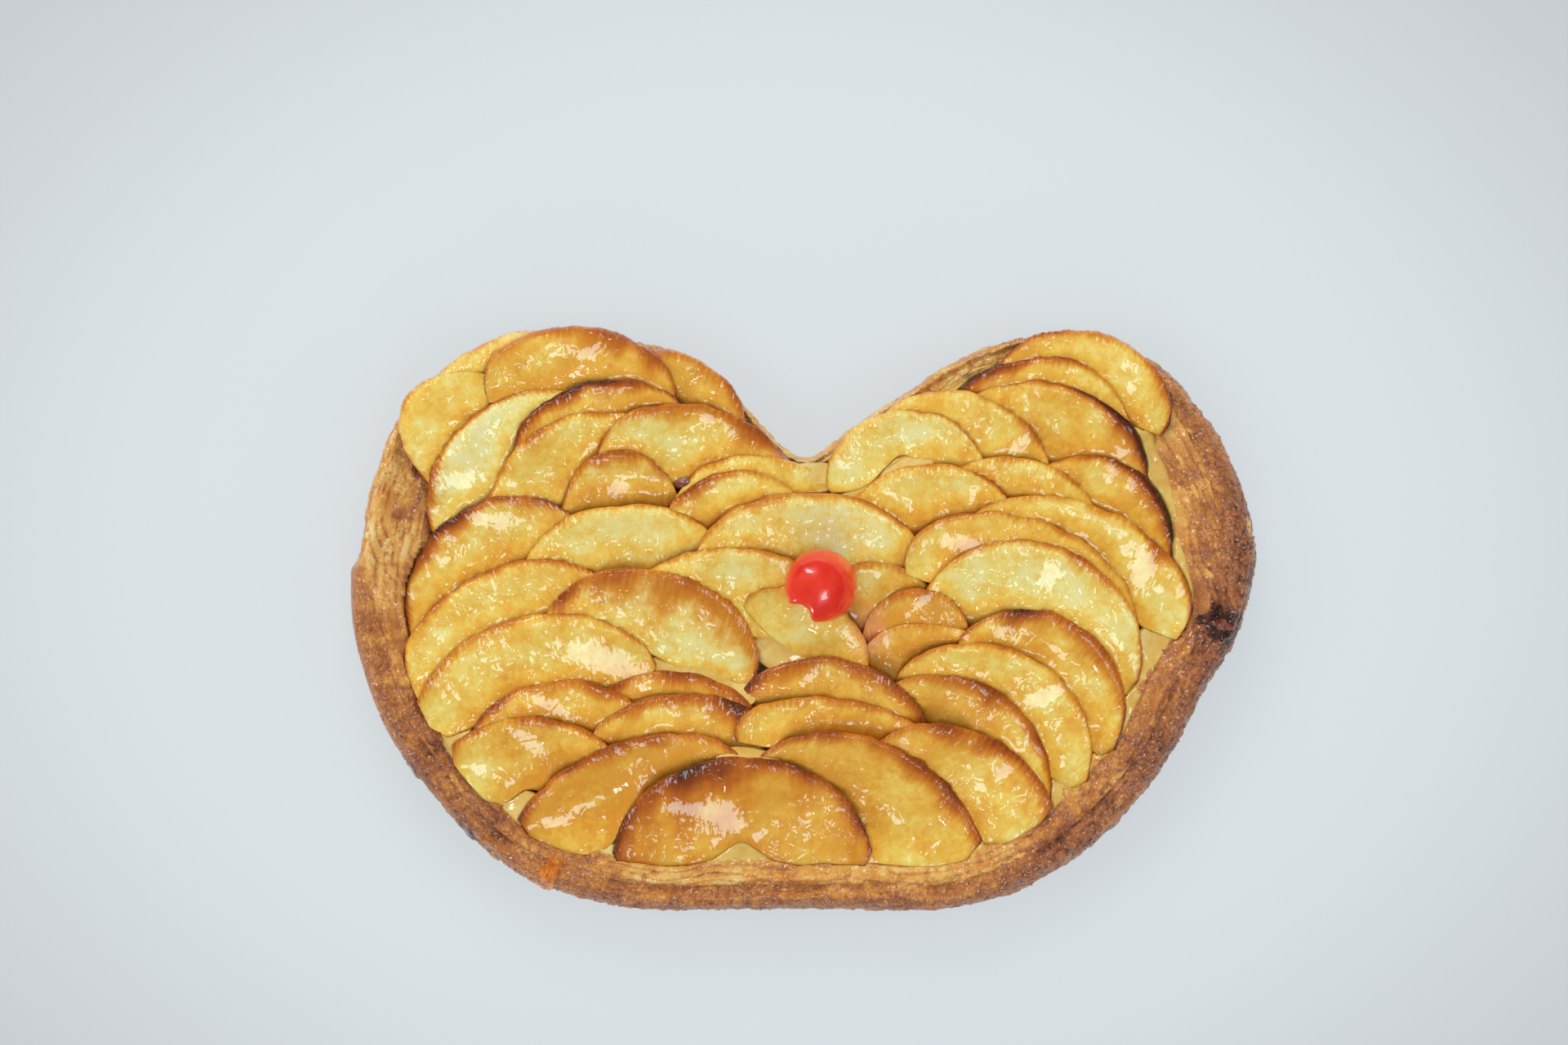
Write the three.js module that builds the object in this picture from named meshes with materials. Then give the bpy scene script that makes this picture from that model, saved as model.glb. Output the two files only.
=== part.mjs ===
// French apple tart, heart-shaped, on its own: a puff pastry case with a browned rolled rim, a bed of
// custard, forty-six half-moon slices of baked apple laid over one another from the lobes to the
// point, and half a glacé cherry in the middle. Millimetres, +Z up, the lobes towards +Y.
import * as THREE from 'three';

// ---- driving dimensions ----------------------------------------------------------------------
const GAP = 0.3; // air left between a piece and whatever it lies on
const CELL = 0.5; // grid of the height map that slices are laid on
const BED_HALF = { x: 150, y: 110 }; // half its width and depth
const SEED = 20811;

// Heart outline as handles round a point below the notch: [angle in degrees, distance from HUB].
const HUB = new THREE.Vector2(1, -5);
const HEART = [
  [0, 119.5], [10, 127], [25, 127.5], [40, 122], [50, 109.5], [60, 90.5], [70, 69], [80, 56.5],
  [90, 48.5], [100, 57], [110, 80.5], [120, 94.5], [135, 116], [150, 128.5], [165, 127.5],
  [180, 124], [200, 114], [220, 103], [240, 87.5], [258, 77.5], [282, 77.5], [300, 87],
  [320, 96.5], [340, 106], [350, 110],
];
// Rolled rim at some of those angles: [angle, width, height]. It is low where the apple laps over it.
const RIM = [
  [0, 15, 17], [12, 21, 16], [28, 17, 14], [42, 8, 11], [52, 6, 10], [64, 6, 11], [78, 4.5, 9.5],
  [90, 4, 9], [105, 4, 9], [130, 6, 8.5], [148, 8, 9], [160, 15, 14], [172, 15, 17], [188, 11, 16],
  [215, 11, 16], [235, 13, 16.5], [262, 13, 17], [290, 13, 17], [318, 14, 18], [345, 15, 18],
];
const STATIONS = 128; // places round the rim where its section is drawn
const FLOOR = 4; // thickness of the pastry below the custard
const FOOT = 1.2; // how far the rim's foot and its inner toe spread
const PLEAT = 0.07; // depth of the rim's flaky pleats, as a share of its width

const CUSTARD_TOP = 6.2;
const CUSTARD_INSET = 2.4; // clear of the rim's inner lip
const CUSTARD_SWELL = 0.5;
const CUSTARD_BANK = 0.5; // height where it banks up against the rim, as a share of the rim's
const CUSTARD_RINGS = [[0.01, 1], [0.12, 0.3], [0.45, 0]]; // [share of the way in, share of the bank]

const SLICE_COLUMNS = 12; // round the peel
const SLICE_ROWS = [0, 0.11, 0.5, 1]; // from the peel to the core
const PEEL_THICK = 3.5; // slice thickness just inside the peel
const CORE_THICK = 1.4;
const EDGE_THICK = 1.5; // left at the rounded peel edge
const SLICE_DEPTH = 26; // most of a slice's depth, from peel to core
const SLICE_SHAPE = 0.87; // least depth of a slice, as a share of half its chord
const TIP_TURN = 0.14; // radians cut off each tip, so that it ends blunt
const TIP_THICK = 0.55; // thickness at the tips, as a share of the middle's
const CORE_CHORD = 0.93; // length of the core side, as a share of the peel's chord
const LEAST_STRETCH = 0.25; // share of a slice's depth that has to clear the rim's lip
const CORE_NOTCH = { depth: 3, half: 8 };

const CHERRY = { x: 5.4, y: 9.1, radius: 10.1, height: 8.6, foot: 0.6, sides: 24 };
const CHERRY_BITE = { depth: 2.6, at: 232, from: 0.93, full: 0.99 }; // cosines off its middle
const DOME_RINGS = [0.99, 0.93, 0.78, 0.52, 0.25]; // shares of the radius

// How a piece is let down on what lies below it.
const SETTLE = { steps: 220, sink: 0.06, passes: 400, slack: 0.004, reach: 30 };
const SLICE_STIFFNESS = 0.3;
const CHERRY_STIFFNESS = 0.9;

// The slices in the order they were laid: [x, y, way the peel faces, half chord, depth, extras].
// 'over' marks a slice that laps over the rim, the others stop at its inner lip. 'notch' is the depth
// of the core's notch and 'core' how far in front of the centre of the arc the core side lies.
const OVER = { over: true };
const SLICES = {
  left_lobe: [
    [-81, 57.5, 118, 28.5, 20.5, OVER], [-86, 47.5, 151, 18.5, 27, OVER],
    [-38.5, 54.5, 74, 24, 20, OVER], [-61, 64, 85, 26.5, 17, OVER], [-74.5, 36, 124, 30.5, 26],
    [-54.5, 47, 103, 25.5, 19, OVER], [-57, 31, 111, 30.5, 26], [-28, 38, 71, 29.5, 20.5, OVER],
    [-49.5, 27, 95, 17, 20], [-11.5, 26, 83, 25, 19.5, OVER], [-18, 20, 102, 22, 21.5, OVER],
  ],
  right_lobe: [
    [77, 59.5, 74, 25.5, 20.5, OVER], [65, 49, 79, 26.5, 25], [66.5, 43.5, 78, 29.5, 22],
    [43.5, 41.5, 70, 26.5, 21, OVER], [28.5, 38, 98, 22.5, 20, { over: true, notch: 8 }],
    [77.5, 19.5, 52, 25, 26.5], [58, 23, 76, 25.5, 22], [34.5, 21, 97, 26, 22, OVER],
  ],
  middle: [
    [-82, 7, 131, 29, 26], [-46.5, 10, 87, 30.5, 22], [2.5, 14, 88, 32, 21.5],
    [21, -0.5, 82, 20.5, 16.5, { core: -4, notch: 0 }], [-21.5, -4.5, 95, 33.5, 24.5],
    [-81.5, -9.5, 122, 33.5, 23], [-41.5, -8, 77, 30.5, 22], [-72.5, -24.5, 105, 35, 26],
  ],
  right_side: [
    [75, 10.5, 68, 34.5, 22], [60, 7.5, 70, 33.5, 20.5], [61.5, -9, 68, 33, 30.5, { core: 0 }],
    [31.5, -9.5, 86, 16, 18.5], [34, -17, 88, 21, 16.5], [63, -23, 54, 27, 25.5],
    [51, -32.5, 61, 30.5, 25.5], [-2, -12.5, 39, 23, 20.5],
  ],
  lower: [
    [41.5, -41, 54, 29, 25], [6, -35, 87, 29.5, 25], [-34.5, -31, 83, 25, 17],
    [-66, -35, 94, 26, 18.5], [-30.5, -44, 83, 31, 24], [12.5, -36.5, 79, 32, 14.5, { core: -2 }],
    [42.5, -53.5, 58, 30, 23.5], [-74.5, -50.5, 90, 29.5, 24, { notch: 6 }],
  ],
  front: [
    [15.5, -63, 57, 38, 30, { core: -3, notch: 0 }], [-45.5, -59.5, 115, 38, 26.5],
    [-16.5, -68, 90, 36.5, 31, { core: 0, notch: 7.5 }],
  ],
};

// ---- small helpers ---------------------------------------------------------------------------
const radians = THREE.MathUtils.degToRad;
const { lerp } = THREE.MathUtils;

function seeded(seed) {
  let state = seed >>> 0;
  return () => {
    state = (Math.imul(state, 1664525) + 1013904223) >>> 0;
    return state / 4294967296;
  };
}
const random = seeded(SEED);
const between = (low, high) => lerp(low, high, random());

// A closed body from points and triangles, all faces outwards.
function body(points, faces) {
  const geometry = new THREE.BufferGeometry();
  geometry.setAttribute('position', new THREE.Float32BufferAttribute(points.flat(), 3));
  geometry.setIndex(faces.flat());
  geometry.computeVertexNormals();
  return geometry;
}

// A body of rings, each given anticlockwise from above: the first is closed by a fan below, the
// last by a fan on top.
function ringed(rings, lowCentre, highCentre) {
  const sides = rings[0].length;
  const points = [...rings.flat(), lowCentre, highCentre];
  const low = points.length - 2;
  const high = points.length - 1;
  const last = (rings.length - 1) * sides;
  const faces = [];
  for (let i = 0; i < sides; i += 1) {
    const next = (i + 1) % sides;
    faces.push([next, i, low], [last + i, last + next, high]);
    for (let r = 0; r < last; r += sides) {
      faces.push([r + i, r + next, r + sides + next], [r + i, r + sides + next, r + sides + i]);
    }
  }
  return { points, faces };
}

// ---- the heart and its rim -------------------------------------------------------------------
const handle = ([angle, reach]) => new THREE.Vector3(
  HUB.x + reach * Math.cos(radians(angle)), HUB.y + reach * Math.sin(radians(angle)), 0);
const heart = new THREE.CatmullRomCurve3(HEART.map(handle), true, 'centripetal');
const outline = heart.getSpacedPoints(STATIONS).slice(0, STATIONS);

// Width and height of the rim at an angle, eased between the nearest two stated ones.
function rimAt(angle) {
  const turn = ((angle % 360) + 360) % 360;
  const after = RIM.findIndex(([at]) => at > turn);
  const [to, toWidth, toHeight] = after < 0 ? [360, ...RIM[0].slice(1)] : RIM[after];
  const [from, width, height] = after < 0 ? RIM.at(-1) : RIM[after - 1];
  const ease = THREE.MathUtils.smoothstep(turn, from, to);
  return { width: lerp(width, toWidth, ease), height: lerp(height, toHeight, ease) };
}

// One station of the rim: its point, the way inwards, its sizes and its own pleat.
const stations = outline.map((point, i) => {
  const ahead = outline[(i + 2) % STATIONS];
  const behind = outline[(i - 2 + STATIONS) % STATIONS];
  const inward = new THREE.Vector2(behind.y - ahead.y, ahead.x - behind.x).normalize();
  const angle = THREE.MathUtils.radToDeg(Math.atan2(point.y - HUB.y, point.x - HUB.x));
  const { width, height } = rimAt(angle);
  const wave = 0.6 * Math.sin(i * 1.9) + 0.4 * Math.sin(i * 0.83 + 1) + between(-0.5, 0.5);
  return { point, inward, width, height, pleat: PLEAT * width * wave };
});

const inset = (station, depth, z) => [
  station.point.x + station.inward.x * depth, station.point.y + station.inward.y * depth, z];

const towardsHub = ([x, y], share, z) => [lerp(x, HUB.x, share), lerp(y, HUB.y, share), z];

// Rim section from the foot over the crest to the floor: [share of width, share of height, pleat].
// The dip behind the crest parts the outer roll from the flaky lip inside it.
const SECTION = [
  [0, 0.15, 0.2], [0, 0.48, 0.5], [0.05, 0.76, 0.6], [0.18, 0.94, 0.5], [0.36, 1, 0.9],
  [0.54, 0.86, -1], [0.72, 0.92, 0.9], [0.88, 0.8, 0.7], [1, 0.55, -0.4],
];
const OUTER_WALL = 0.1; // up to this share of the width, pleats also push the wall in

function makeCase() {
  const rings = [stations.map((s) => inset(s, FOOT, 0))];
  for (const [across, up, fold] of SECTION) {
    rings.push(stations.map((s) => {
      const relief = s.pleat * fold;
      const dent = across < OUTER_WALL ? Math.abs(relief) : 0;
      return inset(s, across * s.width + dent, up * s.height + relief);
    }));
  }
  rings.push(stations.map((s) => inset(s, s.width + FOOT, FLOOR)));
  rings.push(rings.at(-1).map((p) => towardsHub(p, 0.5, FLOOR)));
  return ringed(rings, [HUB.x, HUB.y, 0], [HUB.x, HUB.y, FLOOR]);
}

function makeCustard() {
  const level = (i, bank) => CUSTARD_TOP + CUSTARD_SWELL * Math.sin(i * 0.35 + bank * 2)
    + bank * Math.max(0, CUSTARD_BANK * stations[i].height - CUSTARD_TOP);
  const low = FLOOR + GAP;
  const foot = stations.map((s) => inset(s, s.width + CUSTARD_INSET, low));
  const tops = CUSTARD_RINGS.map(([share, bank]) => foot.map((p, i) => towardsHub(p, share, level(i, bank))));
  return ringed([foot, ...tops], [HUB.x, HUB.y, low], [HUB.x, HUB.y, CUSTARD_TOP]);
}

// ---- what a slice lies on --------------------------------------------------------------------
// A height map of everything laid so far.
class Bed {
  constructor(halfX, halfY) {
    this.halfX = halfX;
    this.halfY = halfY;
    this.wide = Math.ceil((2 * halfX) / CELL);
    this.deep = Math.ceil((2 * halfY) / CELL);
    this.top = new Float64Array(this.wide * this.deep).fill(-Infinity);
  }

  // Visits each cell inside a triangle seen from above, with the shares of its three corners.
  cells([a, b, c], visit) {
    const area = (b[0] - a[0]) * (c[1] - a[1]) - (c[0] - a[0]) * (b[1] - a[1]);
    if (Math.abs(area) < 1e-9) return;
    const index = (value, half) => (value + half) / CELL - 0.5;
    const xs = [a[0], b[0], c[0]].map((x) => index(x, this.halfX));
    const ys = [a[1], b[1], c[1]].map((y) => index(y, this.halfY));
    for (let j = Math.ceil(Math.min(...ys)); j <= Math.max(...ys); j += 1) {
      for (let i = Math.ceil(Math.min(...xs)); i <= Math.max(...xs); i += 1) {
        const x = (i + 0.5) * CELL - this.halfX;
        const y = (j + 0.5) * CELL - this.halfY;
        const wb = ((x - a[0]) * (c[1] - a[1]) - (c[0] - a[0]) * (y - a[1])) / area;
        const wc = ((b[0] - a[0]) * (y - a[1]) - (x - a[0]) * (b[1] - a[1])) / area;
        if (wb >= 0 && wc >= 0 && wb + wc <= 1) visit(j * this.wide + i, 1 - wb - wc, wb, wc);
      }
    }
  }

  // Lays a body on the map, spread by one cell so that its edges count in full.
  lay({ points, faces }) {
    const around = [-1, 0, 1].flatMap((row) => [-1, 0, 1].map((step) => row * this.wide + step));
    for (const face of faces) {
      const corners = face.map((i) => points[i]);
      this.cells(corners, (cell, wa, wb, wc) => {
        const z = wa * corners[0][2] + wb * corners[1][2] + wc * corners[2][2];
        for (const step of around) this.top[cell + step] = Math.max(this.top[cell + step], z);
      });
    }
  }
}

// Least-squares projector on to a gently bent sheet (order 2) or a flat one (order 1).
function sheetProjector(points, order) {
  const [cx, cy] = [0, 1].map((k) => points.reduce((sum, p) => sum + p[k], 0) / points.length);
  const terms = points.map(([px, py]) => {
    const x = (px - cx) / SETTLE.reach;
    const y = (py - cy) / SETTLE.reach;
    return order === 1 ? [1, x, y] : [1, x, y, x * x, x * y, y * y];
  });
  // Orthonormal columns by Gram-Schmidt, so that projecting is two small sums.
  const columns = [];
  for (let k = 0; k < terms[0].length; k += 1) {
    const column = terms.map((row) => row[k]);
    for (const done of columns) {
      const along = done.reduce((sum, value, i) => sum + value * column[i], 0);
      done.forEach((value, i) => { column[i] -= along * value; });
    }
    const size = Math.hypot(...column);
    columns.push(column.map((value) => value / size));
  }
  return (heights) => {
    const fitted = heights.map(() => 0);
    for (const column of columns) {
      const along = column.reduce((sum, value, i) => sum + value * heights[i], 0);
      column.forEach((value, i) => { fitted[i] += along * value; });
    }
    return fitted;
  };
}

// Lets a sheet of points down on the bed until it rests, and returns the height of each point.
function settle(points, faces, bed, order, stiffness) {
  const contacts = [];
  for (const face of faces) {
    bed.cells(face.map((i) => points[i]), (cell, ...shares) => {
      if (bed.top[cell] > -Infinity) contacts.push({ face, shares, least: bed.top[cell] + GAP });
    });
  }
  let heights = points.map(() => Math.max(...contacts.map((c) => c.least)));
  const project = sheetProjector(points, order);
  const clear = () => {
    let worst = 0;
    for (const { face, shares, least } of contacts) {
      const z = face.reduce((sum, i, k) => sum + shares[k] * heights[i], 0);
      if (z < least) {
        worst = Math.max(worst, least - z);
        const push = (least - z) / shares.reduce((sum, share) => sum + share * share, 0);
        face.forEach((i, k) => { heights[i] += shares[k] * push; });
      }
    }
    return worst;
  };
  for (let step = 0; step < SETTLE.steps; step += 1) {
    const sheet = project(heights);
    heights = heights.map((z, i) => lerp(z, sheet[i], stiffness) - SETTLE.sink);
    clear();
  }
  let pass = 0;
  while (clear() > SETTLE.slack && pass < SETTLE.passes) pass += 1;
  return heights;
}

// ---- apple slices ----------------------------------------------------------------------------
const innerLip = stations.map((s) => inset(s, s.width - 0.5, 0));

function insideLip(x, y) {
  let inside = false;
  innerLip.forEach(([ax, ay], i) => {
    const [bx, by] = innerLip[(i + 1) % STATIONS];
    if (ay > y !== by > y && x < ((bx - ax) * (y - ay)) / (by - ay) + ax) inside = !inside;
  });
  return inside;
}

// The stretch of a slice, from peel to core at one turn of its arc, that clears the rim's lip.
function stretchAt(slice, turn) {
  const { x, y, facing, half, depth, notch, over, core } = slice;
  const place = (along, up) => [
    x + along * Math.sin(facing) + up * Math.cos(facing),
    y - along * Math.cos(facing) + up * Math.sin(facing)];
  const along = half * Math.cos(turn);
  const peel = place(along, depth * Math.sin(turn));
  const bitten = notch * Math.exp(-((along / CORE_NOTCH.half) ** 2));
  const inner = place(CORE_CHORD * along, Math.min(core - 1, depth * Math.sin(turn) - 2) + bitten);
  const at = (share) => [lerp(peel[0], inner[0], share), lerp(peel[1], inner[1], share)];
  if (over) return { from: peel, to: inner, length: 1 };
  const steps = 40;
  let first = steps + 1;
  let last = -1;
  for (let k = 0; k <= steps; k += 1) {
    if (insideLip(...at(k / steps))) {
      first = Math.min(first, k);
      last = k;
    }
  }
  return { from: at(first / steps), to: at(last / steps), length: (last - first) / steps };
}

// Outline grid of a slice seen from above, columns round the peel and rows to the core.
function sliceGrid(slice) {
  const tries = 90;
  const first = TIP_TURN + Math.min(0, slice.core / slice.depth);
  const turns = Array.from({ length: tries + 1 }, (_, i) => lerp(first, Math.PI - first, i / tries));
  const open = turns.filter((turn) => stretchAt(slice, turn).length > LEAST_STRETCH);
  return Array.from({ length: SLICE_COLUMNS + 1 }, (_, i) => {
    const { from, to } = stretchAt(slice, lerp(open[0], open.at(-1), i / SLICE_COLUMNS));
    return SLICE_ROWS.map((share) => [lerp(from[0], to[0], share), lerp(from[1], to[1], share), 0]);
  }).flat();
}

const ROWS = SLICE_ROWS.length;
const GRID = (SLICE_COLUMNS + 1) * ROWS;
const gridFaces = [];
for (let i = 0; i < SLICE_COLUMNS; i += 1) {
  for (let j = 0; j < ROWS - 1; j += 1) {
    const here = i * ROWS + j;
    gridFaces.push([here, here + ROWS, here + ROWS + 1], [here, here + ROWS + 1, here + 1]);
  }
}
// The grid's edge, anticlockwise: along the peel, down the far tip, back along the core.
const gridEdge = [
  ...Array.from({ length: SLICE_COLUMNS }, (_, i) => i * ROWS),
  ...Array.from({ length: ROWS - 1 }, (_, j) => SLICE_COLUMNS * ROWS + j),
  ...Array.from({ length: SLICE_COLUMNS }, (_, i) => GRID - 1 - i * ROWS),
  ...Array.from({ length: ROWS - 1 }, (_, j) => ROWS - 1 - j),
];

function thicknessAt(index, scale) {
  const row = index % ROWS;
  if (row === 0) return EDGE_THICK * scale;
  const round = Math.floor(index / ROWS) / SLICE_COLUMNS;
  const belly = lerp(TIP_THICK, 1, Math.sin(Math.PI * round));
  return lerp(PEEL_THICK, CORE_THICK, SLICE_ROWS[row]) * belly * scale;
}

function makeSlice([x, y, facing, half, depth, extras = {}], bed) {
  const usual = Math.max(depth - SLICE_DEPTH, Math.min(0, depth - SLICE_SHAPE * half));
  const { core = usual, notch = CORE_NOTCH.depth, over = false } = extras;
  const slice = { x, y, half, depth, core, notch, over, facing: radians(facing) };
  const grid = sliceGrid(slice);
  const scale = between(0.88, 1.12);
  const heights = settle(grid, gridFaces, bed, 2, SLICE_STIFFNESS);
  const under = grid.map(([px, py], i) => [px, py, heights[i]]);
  const above = under.map(([px, py, z], i) => [px, py, z + thicknessAt(i, scale)]);
  const faces = [
    ...gridFaces.map((face) => face.map((i) => i + GRID)),
    ...gridFaces.map(([a, b, c]) => [a, c, b]),
  ];
  gridEdge.forEach((a, i) => {
    const b = gridEdge[(i + 1) % gridEdge.length];
    faces.push([a, b, b + GRID], [a, b + GRID, a + GRID]);
  });
  return { points: [...under, ...above], faces };
}

// ---- cherry ----------------------------------------------------------------------------------
function makeCherry(bed) {
  const { x, y, radius, height, foot: lift, sides } = CHERRY;
  const ring = (share) => Array.from({ length: sides }, (_, i) => {
    const angle = (2 * Math.PI * i) / sides;
    const off = Math.cos(angle - radians(CHERRY_BITE.at));
    const bite = CHERRY_BITE.depth * THREE.MathUtils.smoothstep(off, CHERRY_BITE.from, CHERRY_BITE.full);
    const reach = share * (radius - bite);
    return [x + reach * Math.cos(angle), y + reach * Math.sin(angle), 0];
  });
  const base = ringed([ring(1), ring(0.55)], [x, y, 0], [x, y, 0]);
  const sheet = base.faces.filter((face) => !face.includes(2 * sides));
  const heights = settle(base.points, sheet, bed, 1, CHERRY_STIFFNESS);
  const foot = ring(1).map(([px, py], i) => [px, py, heights[i]]);
  const middle = heights.at(-1);
  const dome = DOME_RINGS.map((share) => {
    const up = height * Math.sqrt(1 - share * share) + lift;
    return ring(share).map(([px, py], i) => [px, py, lerp(middle, foot[i][2], share) + up]);
  });
  return ringed([foot, ...dome], [x, y, middle], [x, y, middle + height + lift]);
}

// ---- the tart --------------------------------------------------------------------------------
const CRUST = { color: 0xb5793f, roughness: 0.6 };
const CUSTARD = { color: 0xd8c48c, roughness: 0.35 };
const APPLE = { color: 0xe2ae4b, roughness: 0.22 };
const GLACE = { color: 0xd9281f, roughness: 0.15 };

const group = new THREE.Group();
function add(name, { points, faces }, finish) {
  const material = new THREE.MeshStandardMaterial({ metalness: 0, ...finish });
  const mesh = new THREE.Mesh(body(points, faces), material);
  mesh.name = name;
  group.add(mesh);
}

const pastry = makeCase();
const custard = makeCustard();
add('pastry_case', pastry, CRUST);
add('custard', custard, CUSTARD);

const bed = new Bed(BED_HALF.x, BED_HALF.y);
bed.lay(pastry);
bed.lay(custard);
for (const [row, slices] of Object.entries(SLICES)) {
  slices.forEach((layout, i) => {
    const slice = makeSlice(layout, bed);
    bed.lay(slice);
    const tint = new THREE.Color(APPLE.color).offsetHSL(between(-0.012, 0.012), 0, between(-0.05, 0.05));
    add(`apple_${row}_${String(i + 1).padStart(2, '0')}`, slice, { ...APPLE, color: tint });
  });
}
add('cherry', makeCherry(bed), GLACE);

// The frame's origin is under the middle of the tart.
const box = new THREE.Box3().setFromObject(group);
const middle = box.getCenter(new THREE.Vector3());
group.children.forEach((mesh) => mesh.geometry.translate(-middle.x, -middle.y, -box.min.z));

export default group;
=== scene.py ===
"""Looks of a heart-shaped apple tart: baked slices, a flaky browned case, custard and a cherry.

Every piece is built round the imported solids, in metres, in their own frame, and rides on the one
body. Lengths carry the factor MM where they are given in millimetres. MAP_UNIT is the length that
is 1 on the map called grain, which follows a piece's fibres or layers.
"""

from __future__ import annotations

import logging
import math
from dataclasses import dataclass, field
from enum import Enum

import bmesh
import bpy
import numpy as np
from mathutils import Matrix, Vector
from mathutils.bvhtree import BVHTree

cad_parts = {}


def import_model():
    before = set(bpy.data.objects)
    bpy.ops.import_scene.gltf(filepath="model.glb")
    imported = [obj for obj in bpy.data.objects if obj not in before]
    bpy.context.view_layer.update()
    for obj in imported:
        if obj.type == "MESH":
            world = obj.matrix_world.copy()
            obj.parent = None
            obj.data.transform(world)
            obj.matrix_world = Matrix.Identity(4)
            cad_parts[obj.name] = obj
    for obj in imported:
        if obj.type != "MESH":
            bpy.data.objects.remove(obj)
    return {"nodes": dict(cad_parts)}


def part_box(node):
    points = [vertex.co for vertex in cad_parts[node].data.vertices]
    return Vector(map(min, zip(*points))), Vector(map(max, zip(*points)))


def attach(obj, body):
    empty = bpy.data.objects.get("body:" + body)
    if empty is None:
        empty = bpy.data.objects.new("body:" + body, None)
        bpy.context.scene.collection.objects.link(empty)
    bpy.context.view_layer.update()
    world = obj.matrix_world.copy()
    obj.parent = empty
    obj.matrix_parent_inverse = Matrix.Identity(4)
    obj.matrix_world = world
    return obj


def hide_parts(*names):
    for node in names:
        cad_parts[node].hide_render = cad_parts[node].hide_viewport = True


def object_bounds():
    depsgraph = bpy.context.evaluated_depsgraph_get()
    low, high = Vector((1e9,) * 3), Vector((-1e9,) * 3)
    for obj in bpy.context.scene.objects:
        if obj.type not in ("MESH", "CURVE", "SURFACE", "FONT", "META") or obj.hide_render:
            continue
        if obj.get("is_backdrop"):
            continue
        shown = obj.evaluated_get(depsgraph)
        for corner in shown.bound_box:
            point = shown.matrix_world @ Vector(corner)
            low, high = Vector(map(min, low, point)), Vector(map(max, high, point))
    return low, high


MM = 0.001
MAP_UNIT = 10 * MM
BODY = "root"
Array = np.ndarray
Triple = tuple[float, float, float]
Shade = tuple[int, int, int]

log = logging.getLogger("apple_tart")


# ---- small helpers -----------------------------------------------------------------------------
class Grain:
    """Smooth seeded noise over a plane, from -1 to 1: a lattice of random heights, eased."""

    SIZE = 256

    def __init__(self, seed: int) -> None:
        """Draws the lattice.

        Args:
            seed: Number that fixes the heights.
        """
        self.heights = np.random.default_rng(seed).uniform(-1, 1, (self.SIZE, self.SIZE))

    def at(self, x: Array, y: Array | float, step: float, step_y: float | None = None) -> Array:
        """Noise at points of the plane.

        Args:
            x: First coordinates.
            y: Second coordinates.
            step: Distance between two random heights along x.
            step_y: The same along y, where it differs.

        Returns:
            One value for each point.
        """
        across, along = np.asarray(x, float) / step, np.asarray(y, float) / (step_y or step)
        across, along = np.broadcast_arrays(across, along)
        i, j = np.floor(across).astype(int), np.floor(along).astype(int)
        p, q = across - i, along - j
        p, q = p * p * (3 - 2 * p), q * q * (3 - 2 * q)
        i0, i1, j0, j1 = i % self.SIZE, (i + 1) % self.SIZE, j % self.SIZE, (j + 1) % self.SIZE
        low = self.heights[i0, j0] * (1 - p) + self.heights[i1, j0] * p
        high = self.heights[i0, j1] * (1 - p) + self.heights[i1, j1] * p
        return low * (1 - q) + high * q

    def over(self, points: Array, step: float) -> Array:
        """Noise at points seen from above."""
        return self.at(points[:, 0], points[:, 1], step)

    @classmethod
    def several(cls, seed: int, count: int) -> list[Grain]:
        """Noises whose seeds follow one another."""
        return [cls(seed + k) for k in range(count)]


def smoothstep(low: float, high: float, value: Array) -> Array:
    """An eased rise from 0 at low to 1 at high."""
    t = np.clip((value - low) / (high - low), 0, 1)
    return t * t * (3 - 2 * t)


def bell(value: Array, middle: float, spread: float) -> Array:
    """A bell curve of height 1."""
    return np.exp(-(((value - middle) / spread) ** 2))


def quarter_round(distance: Array, radius: float) -> Array:
    """Height of a rounded edge as a share, at a distance in from it."""
    return np.sqrt(np.clip(1 - (1 - np.clip(distance / radius, 0, 1)) ** 2, 0, 1))


def catmull_rom(values: Array, at: Array, closed: bool = False) -> Array:
    """Smooth curve through evenly counted values.

    Args:
        values: One row for each knot.
        at: Positions, counted in knots.
        closed: Whether the last knot leads back to the first.

    Returns:
        One row for each position.
    """
    count = len(values)
    i = np.floor(at).astype(int)
    if not closed:
        i = np.clip(i, 0, count - 2)
    t = (at - i).reshape(-1, *([1] * (values.ndim - 1)))
    knots = [i - 1, i, i + 1, i + 2]
    if closed:
        a, b, c, d = (values[k % count] for k in knots)
    else:
        a, b, c, d = (values[np.clip(k, 0, count - 1)] for k in knots)
        first, last = (i == 0).reshape(t.shape), (i == count - 2).reshape(t.shape)
        a = np.where(first, 2 * b - c, a)
        d = np.where(last, 2 * c - b, d)
    return b + 0.5 * t * (c - a + t * (2 * a - 5 * b + 4 * c - d + t * (3 * (b - c) + d - a)))


def soften(values: Array, spread: float) -> Array:
    """Blurs values that run round a closed ring.

    Args:
        values: The ring's values.
        spread: Standard deviation, counted in values.

    Returns:
        The blurred values.
    """
    reach = int(math.ceil(3 * spread))
    shifts = np.arange(-reach, reach + 1)
    weights = np.exp(-0.5 * (shifts / spread) ** 2)
    weights /= weights.sum()
    return sum(w * np.roll(values, s, 0) for s, w in zip(shifts, weights))


def spokes(plan: Array) -> tuple[Array, Array]:
    """Tells the point in the middle of a ring of points from the ring.

    Args:
        plan: The points, in any order.

    Returns:
        The middle point, and the ways from it to the others in order of bearing.
    """
    nearest = np.linalg.norm(plan - plan.mean(0), axis=1).argmin()
    ways = np.delete(plan, nearest, axis=0) - plan[nearest]
    return plan[nearest], ways[np.argsort(np.arctan2(ways[:, 1], ways[:, 0]))]


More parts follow.
